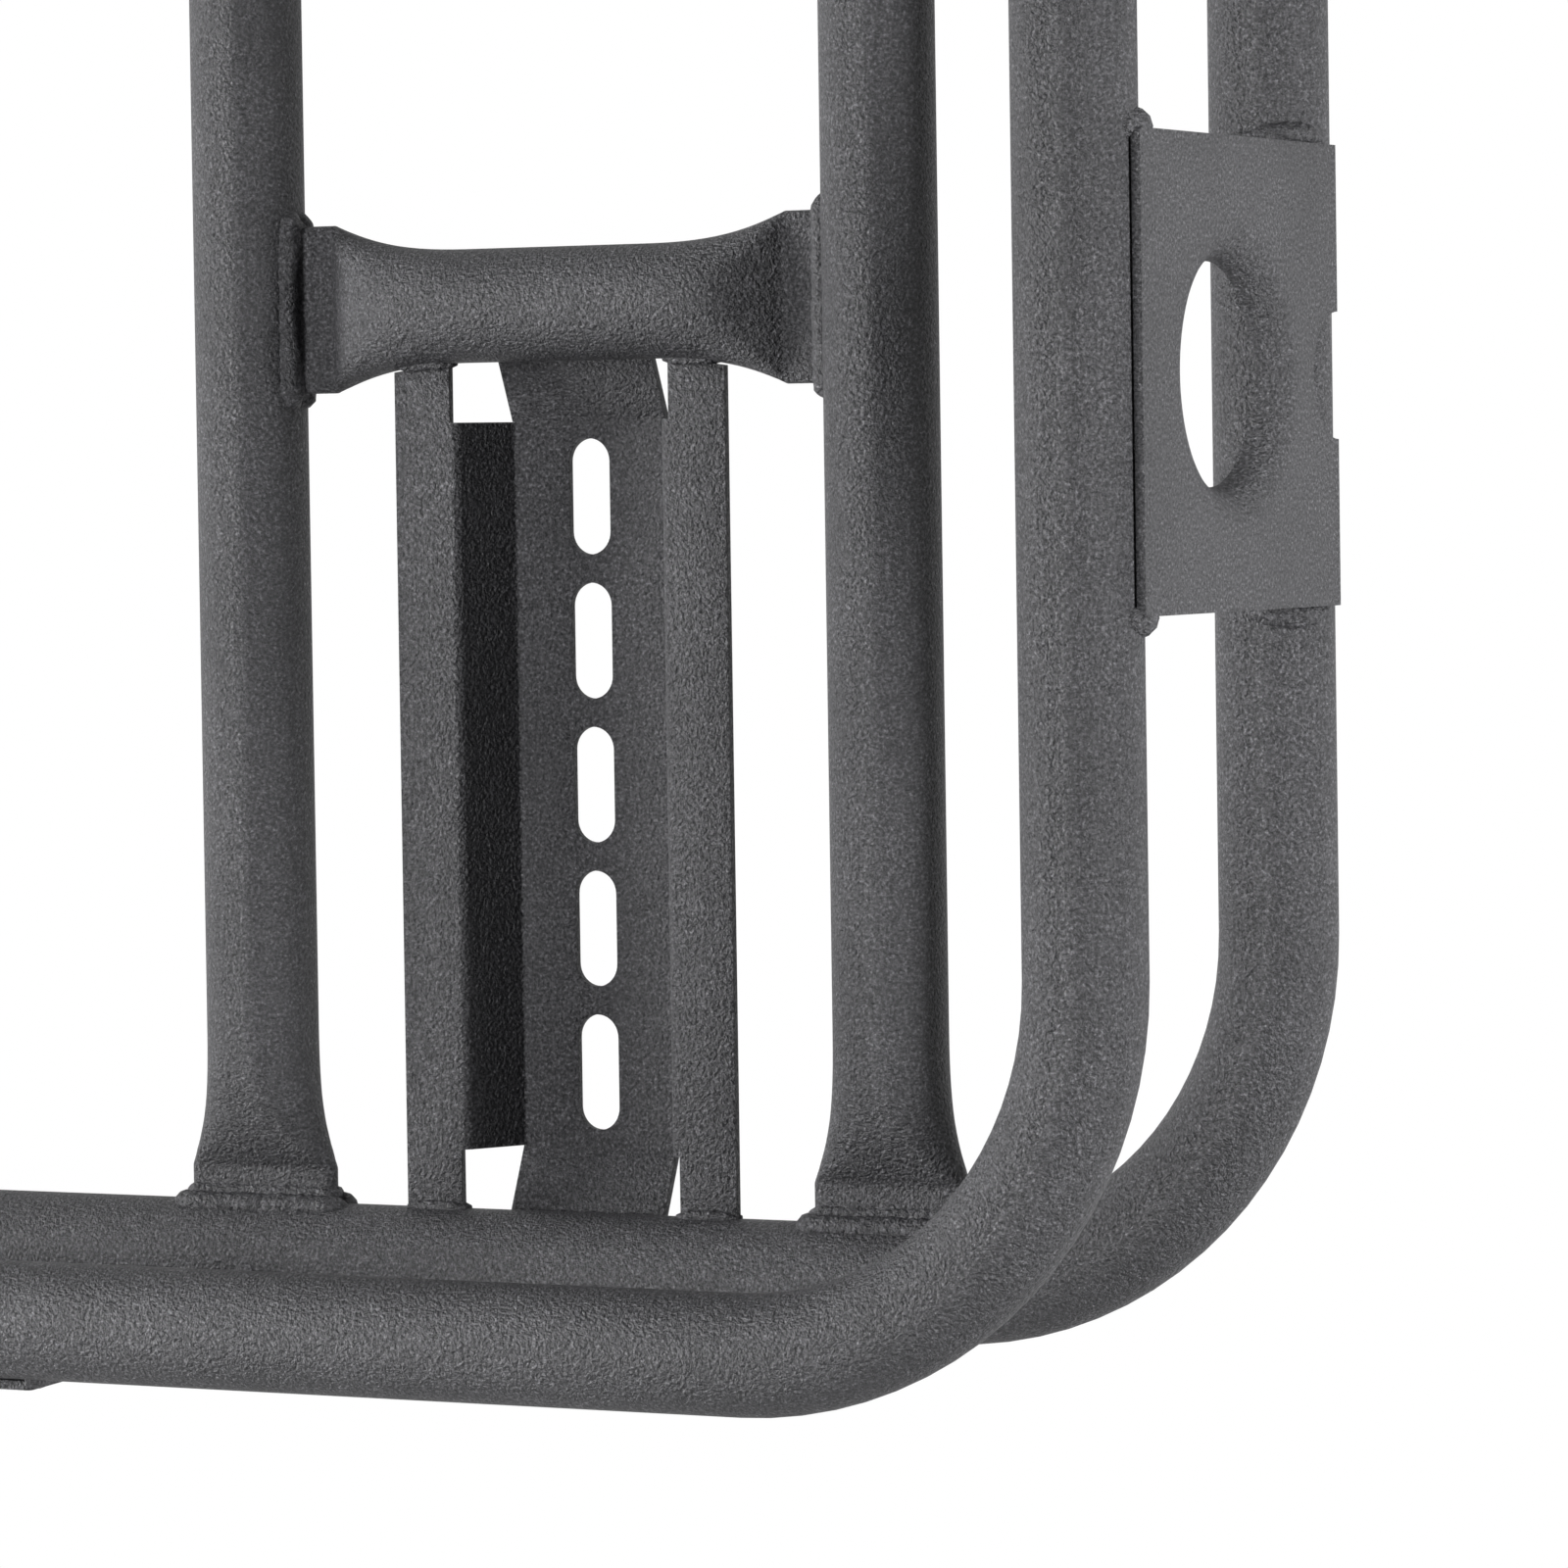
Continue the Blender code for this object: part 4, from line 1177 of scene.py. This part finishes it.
def bolt_mesh():
    head_end = bolt_high.x - HINGE.x
    head_start = head_end - 5.3 * MM
    tip = bolt_low.x - HINGE.x
    thread_end = nut_high.x - HINGE.x + 2 * MM
    stations = int((thread_end - tip) / (THREAD_PITCH / 8))
    bm = bmesh.new()
    rings = []
    for k in range(stations + 1):
        x = tip + (thread_end - tip) * k / stations
        ring = []
        for i in range(AROUND_HARDWARE):
            turn = (x / THREAD_PITCH - i / AROUND_HARDWARE) % 1.0
            radius = BOLT_R - THREAD_DEPTH * abs(2 * turn - 1)
            radius = min(radius, BOLT_R - 0.7 * MM + (x - tip))
            angle = 2 * math.pi * i / AROUND_HARDWARE
            ring.append(bm.verts.new((x, radius * math.cos(angle), radius * math.sin(angle))))
        rings.append(ring)
    for near, far in zip(rings, rings[1:]):
        for i in range(AROUND_HARDWARE):
            j = (i + 1) % AROUND_HARDWARE
            bm.faces.new((near[i], near[j], far[j], far[i]))
    bm.faces.new(rings[0])
    bm.faces.new(rings[-1])
    bmesh.ops.recalc_face_normals(bm, faces=bm.faces)
    shank = turned([(thread_end - 1 * MM, BOLT_R - 0.6 * MM), (thread_end, BOLT_R), (head_start + 1 * MM, BOLT_R)])
    head = hex_block(head_start, head_end, BOLT_FLATS, None, False)
    mesh = joined([mesh_of(bm, "thread"), shank, head])
    smooth(mesh)
    return mesh


def nut_mesh():
    mesh = hex_block(nut_low.x - HINGE.x, nut_high.x - HINGE.x, BOLT_FLATS, BORE_R - 0.5 * MM, True)
    smooth(mesh)
    return mesh


def sleeve_mesh():
    low, high, mid = box_of("lock_sleeve_right")
    outer = (high.x - low.x) / 2
    inner = outer - SLEEVE_WALL
    length, edge = high.y - low.y, 0.5 * MM
    profile = [(0, inner + edge), (0, outer - edge), (edge, outer), (length - edge, outer), (length, outer - edge),
               (length, inner + edge), (length - edge, inner), (edge, inner)]
    mesh = turned(profile, 72, closed=True)
    mesh.transform(Matrix.Translation((mid.x, low.y, mid.z)) @ Matrix.Rotation(math.radians(90), 4, "Z"))
    smooth(mesh)
    return mesh


def plug_mesh(node):
    low, high, mid = box_of(node)
    radius = (high.x - low.x) / 2
    length = high.y - low.y
    dome = [(length - 0.8 * MM * (1 - math.cos(math.radians(a))), radius - 0.8 * MM + 0.8 * MM * math.cos(math.radians(90 - a)))
            for a in (90, 60, 30, 0)]
    profile = [(0, radius - 0.6 * MM), (0.6 * MM, radius)] + dome
    mesh = turned(profile, 56)
    mesh.transform(Matrix.Translation((mid.x, low.y, mid.z)) @ Matrix.Rotation(math.radians(90), 4, "Z"))
    smooth(mesh)
    return mesh


def at_hinge(mesh):
    mesh.transform(Matrix.Translation(HINGE))
    return mesh


hinge_pieces = [("hinge_lug_{}_outer", lug_mesh("hinge_lug_right_outer"), POWDER_COAT, "front_half"),
                ("hinge_lug_{}_inner", lug_mesh("hinge_lug_right_inner"), POWDER_COAT, "front_half"),
                ("hinge_knuckle_{}", knuckle_mesh(), POWDER_COAT, "rear_half"),
                ("hinge_bolt_{}", bolt_mesh(), ZINC, "front_half"),
                ("hinge_nut_{}", nut_mesh(), ZINC, "front_half")]
for pattern, mesh, material, body in hinge_pieces:
    at_hinge(mesh)
    for side, x_sign in SIDES:
        node = pattern.format(side)
        add_piece(f"{node}_fine", reflected(mesh, x_sign, 1), material, body, [node])
sleeve = sleeve_mesh()
for side, x_sign in SIDES:
    node = f"lock_sleeve_{side}"
    add_piece(f"{node}_fine", reflected(sleeve, x_sign, 1), ZINC, node, [node])
for level in ("lower", "upper"):
    plug = plug_mesh(f"front_{level}_plug_right")
    for half, y_sign in HALVES:
        for side, x_sign in SIDES:
            node = f"{half}_{level}_plug_{side}"
            add_piece(f"{node}_fine", reflected(plug, x_sign, y_sign), PLASTIC, f"{half}_half", [node])

lug_welds, knuckle_welds = Beads(), Beads()
lug_low, lug_high, lug_mid = box_of("hinge_lug_right_outer")
knuckle_low, knuckle_high, knuckle_mid = box_of("hinge_knuckle_right")
for across in (-1, 1):
    for up in (-1, 1):
        x, z = SIDE_X + across * (TUBE_R - 0.9 * MM), UPPER_Z + up * 7.3 * MM
        lug_welds.add_both_sides([(x, y * MM, z) for y in (-37, -28, -18, -9)], SMALL_BEAD)
    x, z = SIDE_X + across * 5.5 * MM, UPPER_Z + TUBE_R - 0.7 * MM
    knuckle_welds.add_both_sides([(x, y * MM, z) for y in (5, 10, 15, 19)], 1.5 * MM)
add_piece("hinge_lug_welds", lug_welds.mesh(Lumps=0.4 * MM), WELD_COAT, "front_half")
add_piece("hinge_knuckle_welds", knuckle_welds.mesh(Lumps=0.3 * MM), WELD_COAT, "rear_half")
print("hinge pieces:", 2 * len(hinge_pieces), "and 2 sleeves and 8 plugs")
